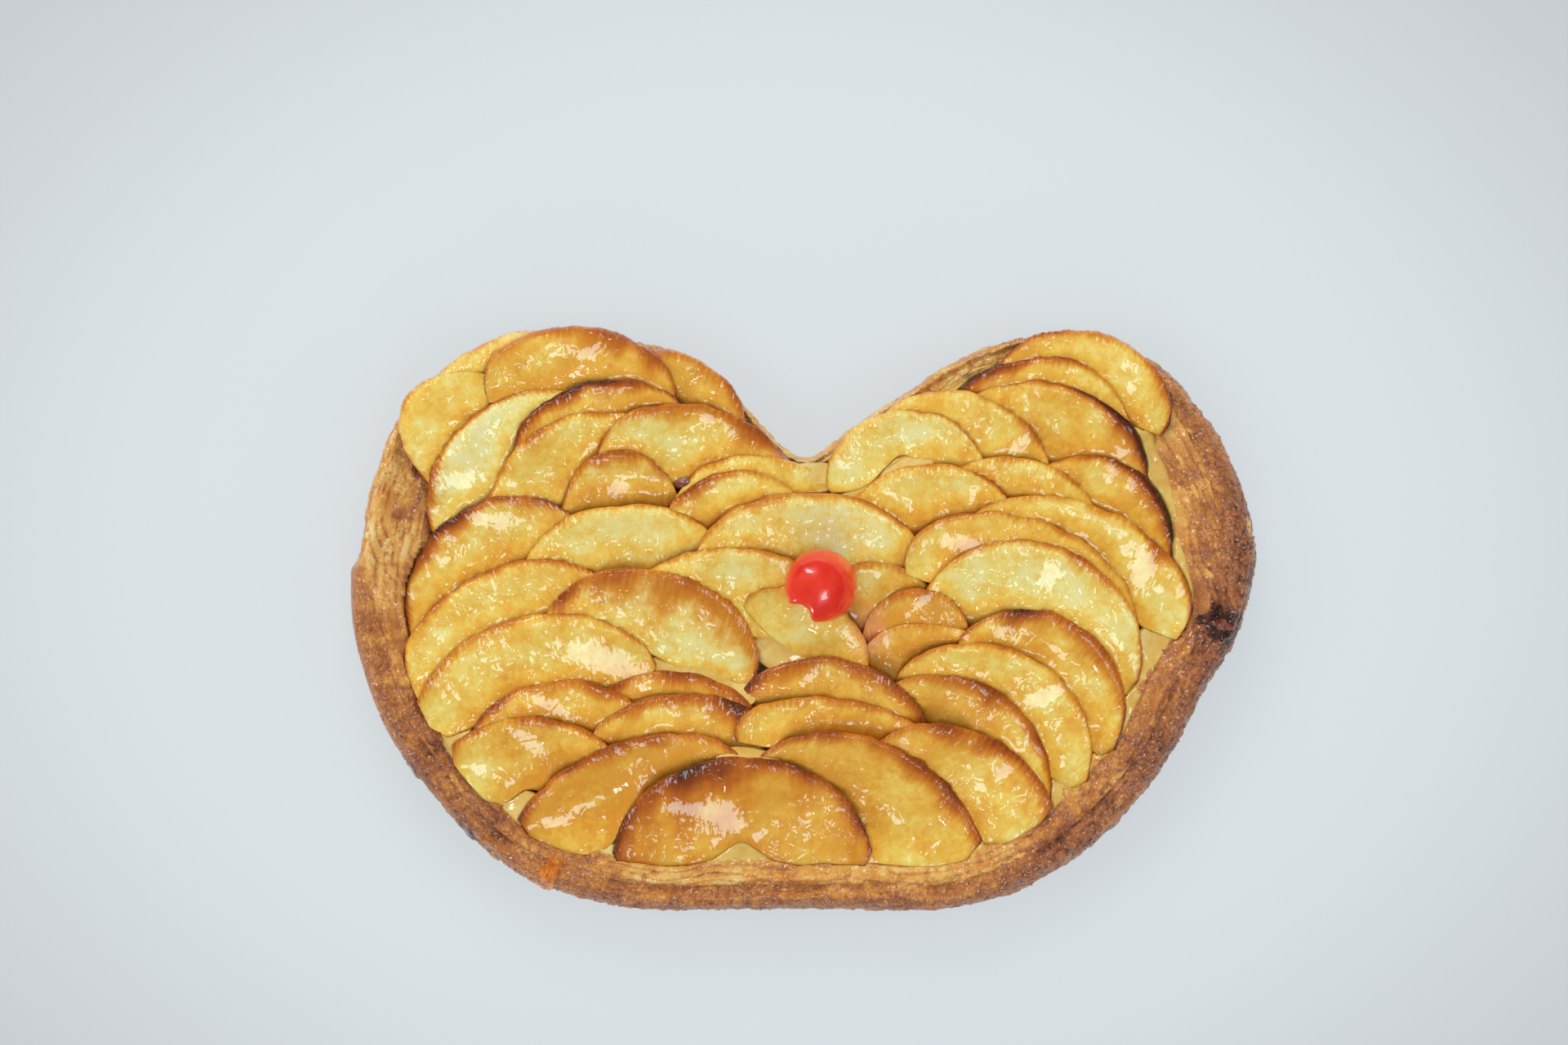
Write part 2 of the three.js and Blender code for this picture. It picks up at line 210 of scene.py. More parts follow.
def merged_form(node: bpy.types.Object) -> bmesh.types.BMesh:
    """A copy of a solid's mesh whose loose triangles share their corners.

    Args:
        node: The solid.

    Returns:
        The copy.
    """
    form = bmesh.new()
    form.from_mesh(node.data)
    bmesh.ops.remove_doubles(form, verts=form.verts, dist=0.001 * MM)
    return form


def ceiling(fruit: BVHTree, points: Array, gap: float) -> Array:
    """Highest that something may reach below the fruit.

    Args:
        fruit: The slices' solids.
        points: Places, of which only the first two coordinates count.
        gap: Distance kept below the fruit.

    Returns:
        One height for each place.
    """
    tops = np.full(len(points), 1.0)
    for k, point in enumerate(points):
        hit = fruit.ray_cast(Vector((point[0], point[1], 0)), Vector((0, 0, 1)))[0]
        if hit:
            tops[k] = hit.z - gap
    return tops


class Shell:
    """A unit grid with a copy below, closed round the edge, to be shaped by moving its points."""

    def __init__(self, columns: int, rows: int) -> None:
        """Makes the grid and its copy.

        Args:
            columns: Steps across, which run over u from 0 to 1.
            rows: Steps along, which run over v from 0 to 1.
        """
        self.form = bmesh.new()
        bmesh.ops.create_grid(self.form, x_segments=columns, y_segments=rows, size=0.5)
        made = bmesh.ops.extrude_face_region(self.form, geom=self.form.faces[:])
        copies = [g for g in made["geom"] if isinstance(g, bmesh.types.BMVert)]
        bmesh.ops.translate(self.form, verts=copies, vec=(0, 0, -1))
        places = np.array([vert.co[:] for vert in self.form.verts])
        self.u = np.round((places[:, 0] + 0.5) * columns) / columns
        self.v = np.round((places[:, 1] + 0.5) * rows) / rows
        self.upper = places[:, 2] > -0.5

    def move(self, points: Array) -> None:
        """Puts every point of the grid and its copy in its place, inside the solids' box."""
        for vert, point in zip(self.form.verts, Bounds.keep(points)):
            vert.co = point

    def disc(self) -> tuple[Array, Array, Array, Array]:
        """The grid as a disc of radius 1: x, y, angle, and how near each point is to the edge."""
        x, y = 2 * self.u - 1, 2 * self.v - 1
        return x, y, np.arctan2(y, x), np.maximum(np.abs(x), np.abs(y))

    def close_ring(self, apart: float) -> Array:
        """Joins the ends of u, and any other points that lie together, without a wall between.

        Args:
            apart: Greatest distance of two points that are joined.

        Returns:
            For each point that is left, its number before.
        """
        order = self.form.verts.layers.int.new("order")
        for number, vert in enumerate(self.form.verts):
            vert[order] = number
        at_end = [
            face for face in self.form.faces
            if {self.u[vert[order]] for vert in face.verts} in ({0.0}, {1.0})
        ]
        bmesh.ops.delete(self.form, geom=at_end, context="FACES_ONLY")
        bmesh.ops.remove_doubles(self.form, verts=self.form.verts, dist=apart)
        loose = [edge for edge in self.form.edges if not edge.link_faces]
        bmesh.ops.delete(self.form, geom=loose, context="EDGES")
        kept = np.array([vert[order] for vert in self.form.verts])
        self.form.verts.layers.int.remove(order)
        return kept


@dataclass
class Marks:
    """Values carried by the points of a piece, which its finish reads."""

    values: dict[str, Array] = field(default_factory=dict)
    grain: Array | None = None
    grain_loop: float = 0.0

    def write(self, mesh: bpy.types.Mesh) -> None:
        """Stores the values on a mesh.

        Args:
            mesh: The piece's mesh, with its points in the same order.
        """
        for name, values in self.values.items():
            stored = mesh.attributes.new(name, "FLOAT", "POINT").data
            stored.foreach_set("value", values.astype(np.float32))
        if self.grain is None:
            return
        corners = np.zeros(len(mesh.loops), int)
        mesh.loops.foreach_get("vertex_index", corners)
        places = self.grain[corners].copy()
        if self.grain_loop:
            starts = np.zeros(len(mesh.polygons), int)
            mesh.polygons.foreach_get("loop_start", starts)
            sizes = np.diff(np.append(starts, len(mesh.loops)))
            highest = np.repeat(np.maximum.reduceat(places[:, 0], starts), sizes)
            past = highest - places[:, 0] > self.grain_loop / 2
            places[:, 0] += np.where(past, self.grain_loop, 0)
        mesh.uv_layers.new(name="grain").data.foreach_set("uv", places.astype(np.float32).ravel())


class Bounds:
    """The solids' box, which no finished piece leaves."""

    low = Vector((0, 0, 0))
    high = Vector((0, 0, 0))

    @classmethod
    def keep(cls, points: Array) -> Array:
        """Points moved back to the box's faces where they lie outside it."""
        return np.clip(points, np.array(cls.low), np.array(cls.high))


def make_piece(
    name: str,
    form: bmesh.types.BMesh,
    finish: bpy.types.Material,
    nodes: tuple[str, ...] = (),
    marks: Marks | None = None,
) -> bpy.types.Object:
    """Turns a finished form into a piece that rides on the tart.

    Args:
        name: The piece's name.
        form: Its closed form, which is used up.
        finish: Its material.
        nodes: The solids that it stands for.
        marks: Values on its points.

    Returns:
        The piece.
    """
    bmesh.ops.recalc_face_normals(form, faces=form.faces)
    mesh = bpy.data.meshes.new(name)
    form.to_mesh(mesh)
    form.free()
    if marks:
        marks.write(mesh)
    mesh.shade_smooth()
    mesh.materials.append(finish)
    piece = bpy.data.objects.new(name, mesh)
    bpy.context.scene.collection.objects.link(piece)
    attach(piece, BODY)
    if nodes:
        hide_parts(*nodes)
    log.info("%s: %d faces", name, len(mesh.polygons))
    return piece


# ---- finishes ----------------------------------------------------------------------------------
def srgb(red: int, green: int, blue: int) -> tuple[float, ...]:
    """A colour given in display values, as the shader takes it."""
    shares = [value / 255 for value in (red, green, blue)]
    linear = [s / 12.92 if s <= 0.04045 else ((s + 0.055) / 1.055) ** 2.4 for s in shares]
    return (*linear, 1.0)


Socket = bpy.types.NodeSocket


class Cells(Enum):
    """Where a pattern of cells measures its distance from."""

    MIDDLE = "F1"
    EDGE = "DISTANCE_TO_EDGE"


class Recipe:
    """Builds a material's nodes by short calls, each of which returns the socket it makes."""

    def __init__(self, name: str) -> None:
        """Starts a material with its shader and output.

        Args:
            name: The material's name.
        """
        self.material = bpy.data.materials.new(name)
        self.material.use_nodes = True
        self.tree = self.material.node_tree
        self.shader = self.tree.nodes["Principled BSDF"]

    def node(
        self, kind: str, inputs: dict[str | int, object] | None = None, **settings: object
    ) -> bpy.types.Node:
        """Adds a node.

        Args:
            kind: The node's type.
            inputs: What goes into its inputs, by name or number.
            **settings: Its properties.

        Returns:
            The node.
        """
        made = self.tree.nodes.new(kind)
        for name, value in settings.items():
            setattr(made, name, value)
        for key, value in (inputs or {}).items():
            self.feed(made.inputs[key], value)
        return made

    def feed(self, socket: Socket, value: object) -> None:
        """Links a socket to an input, or sets the input to a number or colour.

        Args:
            socket: The input.
            value: The socket, number or colour.
        """
        if isinstance(value, bpy.types.NodeSocket):
            self.tree.links.new(value, socket)
        else:
            socket.default_value = value

    def set(self, name: str, value: object) -> None:
        """Feeds one of the shader's inputs."""
        self.feed(self.shader.inputs[name], value)

    def glow(self, weight: float, radius: Triple, scale: float) -> None:
        """Lets light into the surface: how much, how far by colour, and the scale of that."""
        for name, value in (("Weight", weight), ("Radius", radius), ("Scale", scale)):
            self.set("Subsurface " + name, value)

    def coat(self, roughness: float, normal: Socket, weight: Socket | float = 1.0) -> None:
        """Lays a clear coat with its own relief."""
        for name, value in (("Weight", weight), ("Roughness", roughness), ("Normal", normal)):
            self.set("Coat " + name, value)

    def mark(self, name: str) -> Socket:
        """A value carried by the piece's points."""
        return self.node("ShaderNodeAttribute", attribute_name=name).outputs["Fac"]

    def place(self) -> Socket:
        """Object coordinates."""
        return self.node("ShaderNodeTexCoord").outputs["Object"]

    def grain(self) -> Socket:
        """The piece's own map."""
        return self.node("ShaderNodeUVMap", uv_map="grain").outputs["UV"]

    def stretched(self, vector: Socket, scale: Triple, shift: Triple = (0, 0, 0)) -> Socket:
        """A coordinate scaled along each axis, then moved."""
        inputs = {"Vector": vector, "Scale": scale, "Location": shift}
        return self.node("ShaderNodeMapping", inputs).outputs["Vector"]

    def noise(
        self, vector: Socket, scale: float, detail: float = 2, rough: float = 0.5, bend: float = 0
    ) -> Socket:
        """Cloudy noise round 0.5."""
        inputs = {"Vector": vector, "Scale": scale, "Detail": detail, "Roughness": rough}
        return self.node("ShaderNodeTexNoise", inputs | {"Distortion": bend}).outputs["Fac"]

    def bent(self, vector: Socket, scale: float, reach: float) -> Socket:
        """A coordinate bent by noise, at most by about half of reach.

        Args:
            vector: The coordinate.
            scale: How fine the noise is.
            reach: Twice the greatest shift.

        Returns:
            The bent coordinate.
        """
        clouds = self.node("ShaderNodeTexNoise", {"Vector": vector, "Scale": scale})
        inputs = {0: clouds.outputs["Color"], 1: (reach, reach, reach), 2: vector}
        return self.node("ShaderNodeVectorMath", inputs, operation="MULTIPLY_ADD").outputs["Vector"]

    def cells(self, vector: Socket, scale: float, from_where: Cells = Cells.MIDDLE) -> Socket:
        """Distance in a pattern of cells.

        Args:
            vector: The coordinate.
            scale: How fine the cells are.
            from_where: What the distance is measured from.

        Returns:
            The distance.
        """
        inputs = {"Vector": vector, "Scale": scale}
        made = self.node("ShaderNodeTexVoronoi", inputs, feature=from_where.value)
        return made.outputs["Distance"]

    def sum(self, *terms: Socket | float) -> Socket:
        """Adds terms.

        Args:
            *terms: Values or numbers, the first of them a value.

        Returns:
            Their sum.
        """
        total = terms[0]
        for term in terms[1:]:
            total = self.math("ADD", total, term)
        return total

    def math(self, operation: str, first: Socket | float, second: Socket | float = 0) -> Socket:
        """One arithmetic step."""
        return self.node("ShaderNodeMath", {0: first, 1: second}, operation=operation).outputs[0]

    def times(self, value: Socket, factor: Socket | float) -> Socket:
        """A value scaled."""
        return self.math("MULTIPLY", value, factor)

    def swing(self, noise: Socket, factor: Socket | float) -> Socket:
        """Noise round 0.5 made to swing round 0."""
        return self.times(self.math("SUBTRACT", noise, 0.5), factor)

    def span(
        self, value: Socket, low: float, high: float, to_low: float = 0, to_high: float = 1
    ) -> Socket:
        """A value eased from one range to another and held at its ends.

        Args:
            value: The value.
            low: Where the first range starts.
            high: Where it ends.
            to_low: What low becomes.
            to_high: What high becomes.

        Returns:
            The eased value.
        """
        inputs = {"Value": value, "From Min": low, "From Max": high, "To Min": to_low}
        inputs["To Max"] = to_high
        made = self.node("ShaderNodeMapRange", inputs, interpolation_type="SMOOTHSTEP")
        return made.outputs["Result"]

    def ramp(self, value: Socket, stops: list[tuple[float, Shade]]) -> Socket:
        """Colours along a value.

        Args:
            value: The value that picks the colour.
            stops: Positions with their display colours.

        Returns:
            The colour.
        """
        made = self.node("ShaderNodeValToRGB")
        elements = made.color_ramp.elements
        while len(elements) < len(stops):
            elements.new(1.0)
        for element, (at, colour) in zip(elements, stops):
            element.position = at
            element.color = srgb(*colour)
        self.feed(made.inputs["Fac"], value)
        return made.outputs["Color"]

    def mix(self, share: Socket | float, first: object, second: object) -> Socket:
        """Blends two colours."""
        inputs = {0: share, 6: first, 7: second}
        return self.node("ShaderNodeMix", inputs, data_type="RGBA").outputs[2]

    def near(self, place: Socket, centre: Triple, radii: Triple, turn: float = 0) -> Socket:
        """Distance from a centre, counted in radii, which are turned by degrees about +Z.

        Args:
            place: Object coordinates.
            centre: The centre.
            radii: The radius along each axis.
            turn: Degrees that the axes are turned by about +Z.

        Returns:
            The distance, which is 1 on the ellipse.
        """
        inputs = {"Vector": place, "Location": centre, "Scale": radii}
        inputs["Rotation"] = (0, 0, math.radians(turn))
        moved = self.node("ShaderNodeMapping", inputs, vector_type="TEXTURE").outputs["Vector"]
        return self.node("ShaderNodeVectorMath", {0: moved}, operation="LENGTH").outputs["Value"]

    def facing_window(self, place: Socket, share: Socket, normal: Socket) -> Socket:
        """Turns a normal towards the window's light where share is 1.

        Args:
            place: Object coordinates.
            share: How far it is turned, from 0 to 1.
            normal: The normal.

        Returns:
            The turned normal.
        """
        aim = self.stretched(place, WINDOW_CHANGE, WINDOW_AT)
        towards = self.node("ShaderNodeVectorMath", {0: aim}, operation="NORMALIZE")
        inputs = {0: share, 4: normal, 5: towards.outputs["Vector"]}
        return self.node("ShaderNodeMix", inputs, data_type="VECTOR").outputs[1]

    def bump(self, height: Socket, depth: float) -> Socket:
        """The normal of a relief whose height 1 stands for a depth in metres."""
        return self.node("ShaderNodeBump", {"Distance": depth, "Height": height}).outputs["Normal"]


# The normal half-way between camera and window light: over the origin, and its change per metre.
WINDOW_AT = (0.071, -0.19, 1.0)
WINDOW_CHANGE = (-0.785, -0.785, 0.0)


@dataclass(frozen=True)
class Gleam:
    """A pool in the glaze that catches the window's light: its place and size, in millimetres."""

    x: float
    y: float
    half_length: float
    half_width: float
    turn: float = 0.0


GLEAMS = [
    Gleam(-24, -54, 6, 4.5, -15), Gleam(-32, -52, 7, 1.6, 0), Gleam(-56, -11, 12, 4, -19),
    Gleam(-95, 38, 6, 2.2, 6), Gleam(-85, 27, 8, 2.2, -6), Gleam(-76, -34, 6, 2, -41),
    Gleam(-69, -24, 7, 1.7, -22), Gleam(66, -21, 6.5, 2.2, 21), Gleam(93, 14, 6, 3, 75),
    Gleam(43, 21, 5, 2.2, -4), Gleam(67, 12, 5, 2.6, 65), Gleam(56, -4, 4.5, 1.8, -17),
    Gleam(32, 5, 5.5, 1.2, 45), Gleam(-59, 73, 4, 1.6, 21), Gleam(59, 48, 4, 1.7, 55),
    Gleam(12, -5, 3, 1.2, 123), Gleam(-27, 55, 3, 1.3), Gleam(1, -16, 3.2, 1, 43),
    Gleam(-51.5, 36, 3, 1.8, 23),
]


@dataclass(frozen=True)
class GlazedApple:
    """Baked apple under a thick clear apricot glaze."""

    cherry: Triple
    stain_shift: tuple[float, float] = (13 * MM, -12 * MM)
    stain_half: Triple = (8 * MM, 11 * MM, 30 * MM)
    pulp_depth: float = 0.26 * MM
    waves: float = 0.5 * MM
    coat_roughness: float = 0.035
    glaze_bends: float = 1.47
    gleam: float = 0.85

    def make(self) -> bpy.types.Material:
        """The material; reads the marks bake, tone and peel and the map grain."""
        recipe = Recipe("glazed_apple")
        place, grain, peel = recipe.place(), recipe.grain(), recipe.mark("peel")
        fibres = recipe.noise(recipe.stretched(grain, (1.0, 0.28, 1)), 11.0, 3, 0.6, 0.8)
        streaks = recipe.swing(fibres, recipe.span(peel, 0.05, 0.9, 0.3, 1.0))
        clouds = recipe.noise(place, 130, 3, 0.55)
        pulp = recipe.noise(place, 420, 3, 0.6, 0.6)
        baked = recipe.sum(
            recipe.mark("bake"),
            recipe.times(streaks, 0.2),
            recipe.swing(clouds, 0.34),
            recipe.swing(pulp, 0.12),
        )
        crust = recipe.ramp(baked, [
            (0.0, (248, 216, 120)), (0.16, (242, 194, 84)), (0.32, (228, 156, 50)),
            (0.48, (200, 112, 32)), (0.64, (158, 76, 26)), (0.8, (104, 48, 24)),
            (1.0, (58, 28, 18)),
        ])
        flesh = recipe.sum(
            recipe.mark("tone"),
            recipe.swing(clouds, 0.9),
            recipe.swing(pulp, 0.8),
            recipe.times(streaks, 0.6),
        )
        pale = recipe.ramp(flesh, [
            (0.0, (255, 244, 182)), (0.25, (255, 234, 146)), (0.5, (252, 212, 100)),
            (0.75, (244, 188, 72)), (1.0, (230, 160, 52)),
        ])
        colour = recipe.mix(recipe.span(baked, 0.1, 0.36), pale, crust)
        x, y, z = self.cherry
        middle = (x + self.stain_shift[0], y + self.stain_shift[1], z)
        stain = recipe.sum(recipe.near(place, middle, self.stain_half), recipe.swing(clouds, 1.2))
        colour = recipe.mix(recipe.span(stain, 0.2, 1.0, 0.5, 0.0), colour, srgb(242, 154, 118))
        recipe.set("Base Color", colour)
        recipe.set("Roughness", 0.45)
        recipe.glow(0.4, (1.0, 0.6, 0.15), 2.2 * MM)
        recipe.set("Specular IOR Level", 0.15)
        fibrous = recipe.sum(recipe.times(streaks, 1.8), pulp)
        recipe.set("Normal", recipe.bump(fibrous, self.pulp_depth))
        comb = recipe.noise(recipe.stretched(grain, (1.0, 0.3, 1)), 10, 2, 0.6, 0.4)
        slow = recipe.noise(place, 95, 1, 0.35, 0.8)
        quick = recipe.noise(place, 270, 0, 0.35, 1.2)
        cracks = recipe.cells(recipe.bent(place, 160, 5 * MM), 170, Cells.EDGE)
        ridge = recipe.span(cracks, 0.0, 0.12, 1, 0)
        patchy = recipe.span(recipe.noise(place, 60, 1, 0.4), 0.4, 0.6, 0.15, 1)
        glaze = recipe.sum(
            recipe.times(slow, 3.4),
            recipe.times(recipe.times(quick, patchy), 1.1),
            recipe.times(recipe.times(ridge, patchy), 0.45),
            recipe.times(recipe.times(streaks, peel), 0.5),
        )
        normal = self.with_gleams(recipe, place, comb, recipe.bump(glaze, self.waves))
        recipe.coat(self.coat_roughness, normal)
        recipe.set("Coat IOR", self.glaze_bends)
        return recipe.material

    def with_gleams(self, recipe: Recipe, place: Socket, comb: Socket, normal: Socket) -> Socket:
        """Turns the glaze towards the window's light in its level pools.

        Args:
            recipe: The material.
            place: Object coordinates.
            comb: Fine ridges across the peel.
            normal: The glaze's normal elsewhere.

        Returns:
            The normal with the pools.
        """
        flat = recipe.stretched(place, (1, 1, 0))
        nearest = 9.0
        for gleam in GLEAMS:
            centre = (gleam.x * MM, gleam.y * MM, 0)
            radii = (gleam.half_length * MM, gleam.half_width * MM, 1)
            nearest = recipe.math("MINIMUM", recipe.near(flat, centre, radii, gleam.turn), nearest)
        ragged = recipe.swing(recipe.noise(place, 330, 4, 0.72), 2.8)
        edge = recipe.sum(nearest, ragged, recipe.swing(comb, 2.4))
        pool = recipe.span(edge, 1.15, 0.95, 0, self.gleam)
        patches = recipe.span(recipe.noise(place, 85, 1, 0.4), 0.5, 0.58, 0, self.gleam)
        band = recipe.span(recipe.mark("peel"), 0.3, 0.55)
        ridges = recipe.times(recipe.times(recipe.span(comb, 0.56, 0.61), band), patches)
        return recipe.facing_window(place, recipe.math("MAXIMUM", pool, ridges), normal)


@dataclass(frozen=True)
class BakedCrust:
    """Browned puff pastry, from pale flakes to burnt sugar."""

    relief_depth: float = 0.8 * MM
    sparkle_depth: float = 1.0 * MM
    coat_roughness: float = 0.09

    def make(self) -> bpy.types.Material:
        """The material; reads the marks bake (browning with painted shade and light) and gloss and
        the map grain.
        """
        recipe = Recipe("baked_puff_pastry")
        place, grain, gloss = recipe.place(), recipe.grain(), recipe.mark("gloss")
        layers = recipe.noise(recipe.stretched(grain, (0.14, 1.0, 1)), 8, 3, 0.6, 0.6)
        clouds = recipe.noise(place, 110, 3, 0.55)
        grit = recipe.noise(place, 900, 3, 0.65)
        sugar = recipe.cells(recipe.bent(place, 500, 0.8 * MM), 820)
        domes = recipe.span(sugar, 0.0, 0.75, 1, 0)
        domes = recipe.times(domes, recipe.span(gloss, 0.25, 0.8, 1.0, 0.25))
        # Includes painted light and shade on the sugar domes: the browning is lower on their tops
        # and higher between them.
        baked = recipe.sum(
            recipe.mark("bake"),
            recipe.swing(layers, 0.24),
            recipe.swing(clouds, 0.22),
            recipe.swing(grit, recipe.span(gloss, 0.2, 0.9, 0.6, 0.25)),
            recipe.swing(domes, -0.16),
        )
        colour = recipe.ramp(baked, [
            (0.0, (255, 220, 144)), (0.2, (246, 186, 94)), (0.38, (225, 151, 74)),
            (0.55, (192, 120, 69)), (0.72, (162, 98, 63)), (0.86, (116, 67, 49)),
            (1.0, (66, 38, 32)),
        ])
        recipe.set("Base Color", colour)
        recipe.set("Roughness", recipe.span(gloss, 0, 1, 0.6, 0.3))
        recipe.glow(0.06, (1.0, 0.5, 0.25), 0.8 * MM)
        recipe.set("Specular IOR Level", 0.25)
        relief = recipe.sum(recipe.times(layers, 0.6), grit, recipe.times(domes, 0.6))
        recipe.set("Normal", recipe.bump(relief, self.relief_depth))
        ripples = recipe.noise(place, 520, 1, 0.5)
        sparkle = recipe.sum(ripples, recipe.times(clouds, 1.2), recipe.times(domes, 0.12))
        dots = recipe.cells(recipe.bent(place, 700, 0.4 * MM), 850)
        where = recipe.span(recipe.noise(place, 170, 2, 0.5), 0.42, 0.56, 0.1, 1)
        glints = recipe.times(recipe.span(dots, 0.12, 0.24, 0.9, 0), where)
        normal = recipe.facing_window(place, glints, recipe.bump(sparkle, self.sparkle_depth))
        shine = recipe.sum(gloss, recipe.times(clouds, 0.6))
        recipe.coat(self.coat_roughness, normal, recipe.span(shine, 0.2, 0.9, 0.55, 1.0))
        return recipe.material


@dataclass(frozen=True)
class SetSyrup:
    """Clear syrup, from amber to burnt."""

    light: Shade
    dark: Shade

    def make(self, name: str) -> bpy.types.Material:
        """The material under a name."""
        recipe = Recipe(name)
        clouds = recipe.noise(recipe.place(), 240, 2, 0.5)
        recipe.set("Base Color", recipe.ramp(clouds, [(0.35, self.dark), (0.62, self.light)]))
        recipe.set("Roughness", 0.3)
        recipe.coat(0.04, recipe.bump(clouds, 0.5 * MM))
        return recipe.material


@dataclass(frozen=True)
class SugarCrystal:
    """Grains of sugar, half melted."""

    def make(self) -> bpy.types.Material:
        """The material."""
        recipe = Recipe("sugar_crystal")
        clouds = recipe.noise(recipe.place(), 300, 2, 0.5)
        colour = recipe.ramp(clouds, [(0.35, (146, 86, 48)), (0.6, (206, 158, 110))])
        recipe.set("Base Color", colour)
        recipe.set("Roughness", recipe.span(clouds, 0.3, 0.7, 0.15, 0.35))
        return recipe.material


@dataclass(frozen=True)
class BakedCustard:
    """Set pastry cream, glazed."""

    def make(self) -> bpy.types.Material:
        """The material."""
        recipe = Recipe("baked_custard")
        place = recipe.place()
        clouds = recipe.noise(place, 90, 3, 0.55)
        fine = recipe.noise(place, 420, 3, 0.6)
        tone = recipe.sum(clouds, recipe.swing(fine, 0.5))
        recipe.set("Base Color", recipe.ramp(tone, [
            (0.3, (226, 174, 78)), (0.5, (234, 195, 99)), (0.7, (245, 216, 134)),
        ]))
        recipe.set("Roughness", 0.4)
        recipe.glow(0.15, (1.0, 0.6, 0.25), 1.5 * MM)
        recipe.set("Normal", recipe.bump(fine, 0.3 * MM))
        recipe.coat(0.05, recipe.bump(clouds, 0.9 * MM))
        return recipe.material


@dataclass(frozen=True)
class GlaceCherry:
    """Bright red candied cherry."""

    def make(self) -> bpy.types.Material:
        """The material."""
        recipe = Recipe("glace_cherry")
        place = recipe.place()
        clouds = recipe.noise(place, 160, 2, 0.5)
        recipe.set("Base Color", recipe.ramp(clouds, [(0.3, (232, 34, 24)), (0.7, (248, 72, 46))]))
        recipe.set("Roughness", 0.3)
        recipe.glow(0.5, (1.0, 0.2, 0.1), 2.5 * MM)
        recipe.coat(0.03, recipe.bump(recipe.noise(place, 260, 2, 0.5), 0.25 * MM))
        return recipe.material


# ---- camera, floor and light -------------------------------------------------------------------
class Task(Enum):
    """What a light is there for: to fill the shadows, or to give highlights alone."""

    FILL = 0
    SHINE = 1


@dataclass(frozen=True)
class SoftLight:
    """A square soft light that faces the tart.

    bearing is the direction it stands in, in degrees from +X, and tilt how far it is off the
    vertical; away and size are in metres and power in watts.
    """

    name: str
    bearing: float
    tilt: float
    away: float
    size: float
    power: float
    task: Task = Task.FILL
    tint: Triple = (1.0, 1.0, 1.0)

    def hang(self) -> None:
        """Makes the light."""
        data = bpy.data.lights.new(self.name, "AREA")
        data.size, data.energy, data.color = self.size, self.power, self.tint
        lamp = bpy.data.objects.new(self.name, data)
        turn, lean = math.radians(self.bearing), math.radians(self.tilt)
        level = math.sin(lean)
        stand = Vector((math.cos(turn) * level, math.sin(turn) * level, math.cos(lean)))
        lamp.location = stand * self.away
        lamp.rotation_euler = stand.to_track_quat("Z", "Y").to_euler()
        lamp.visible_diffuse, lamp.visible_glossy = self.task is Task.FILL, self.task is Task.SHINE
        bpy.context.scene.collection.objects.link(lamp)


LIGHTS = [
    SoftLight("window", -70, 24, 1.6, 0.5, 6.2, Task.SHINE, (0.7, 0.95, 1.0)),
    SoftLight("back_window", 120, 52, 1.8, 0.5, 9, Task.SHINE),
    SoftLight("left_low", 222, 74, 1.5, 0.32, 5, Task.SHINE),
    SoftLight("back_wide", 98, 58, 2.0, 1.3, 19),
    SoftLight("left_wide", 185, 64, 2.0, 1.2, 11),
    SoftLight("right_wide", -8, 64, 2.0, 1.2, 9),
    SoftLight("front_wide", -90, 62, 2.0, 1.2, 9),
]


@dataclass
class Studio:
    """Overhead camera, pale floor and soft lights."""

    aim: tuple[float, float] = (-5.85 * MM, 26.55 * MM)
    view_width: float = 432 * MM
    lens: float = 100.0
    sensor: float = 36.0
    level: float = 11 * MM
    floor_half: float = 3.0
    painted_light_centre: Triple = (-8 * MM, 20 * MM, 0)
    painted_light_half: Triple = (0.25, 0.19, 1)
    floor_dull: float = 0.68
    floor_glow: float = 0.67
    surround: float = 0.5

    def build(self) -> None:
        """Makes everything round the tart."""
        self.set_camera()
        self.lay_floor()
        self.hang_lights()

    def set_camera(self) -> None:
        """Looks straight down, so that view_width fills the picture at the level of the fruit."""
        data = bpy.data.cameras.new("overhead")
        data.lens, data.sensor_width = self.lens, self.sensor
        camera = bpy.data.objects.new("overhead", data)
        away = self.view_width * self.lens / self.sensor
        camera.location = (*self.aim, self.level + away)
        bpy.context.scene.collection.objects.link(camera)
        bpy.context.scene.camera = camera

    def lay_floor(self) -> None:
        """A pale table top with a pool of light painted into its colour, brighter near the middle
        and darker towards the corners; it also glows a little so that shadows stay faint.
        """
        form = bmesh.new()
        bmesh.ops.create_grid(form, x_segments=1, y_segments=1, size=self.floor_half)
        mesh = bpy.data.meshes.new("table_top")
        form.to_mesh(mesh)
        form.free()
        recipe = Recipe("pale_table")
        # Painted pool of light on the floor: its colour is brighter in an ellipse near the middle
        # and darker towards the corners.
        far = recipe.near(recipe.place(), self.painted_light_centre, self.painted_light_half)
        painted_falloff = recipe.span(far, 0.6, 1.3, 0, 0.95)
        shade = recipe.mix(painted_falloff, srgb(222, 229, 233), srgb(198, 203, 207))
        recipe.set("Base Color", recipe.mix(self.floor_dull, shade, srgb(0, 0, 0)))
        recipe.set("Emission Color", shade)
        recipe.set("Emission Strength", self.floor_glow)
        recipe.set("Roughness", 0.7)
        recipe.set("Specular IOR Level", 0.2)
        mesh.materials.append(recipe.material)
        floor = bpy.data.objects.new("table_top", mesh)
        bpy.context.scene.collection.objects.link(floor)
        floor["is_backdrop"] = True

    def hang_lights(self) -> None:
        """Wide fills all round, boxes that only shine in the glaze, and a pale surround."""
        for light in LIGHTS:
            light.hang()
        world = bpy.data.worlds.new("surround")
        world.use_nodes = True
        inputs = world.node_tree.nodes["Background"].inputs
        inputs["Color"].default_value = srgb(240, 242, 244)
        inputs["Strength"].default_value = self.surround
        world.cycles_visibility.glossy = False
        scene = bpy.context.scene
        scene.world = world
        scene.view_settings.view_transform = "Standard"


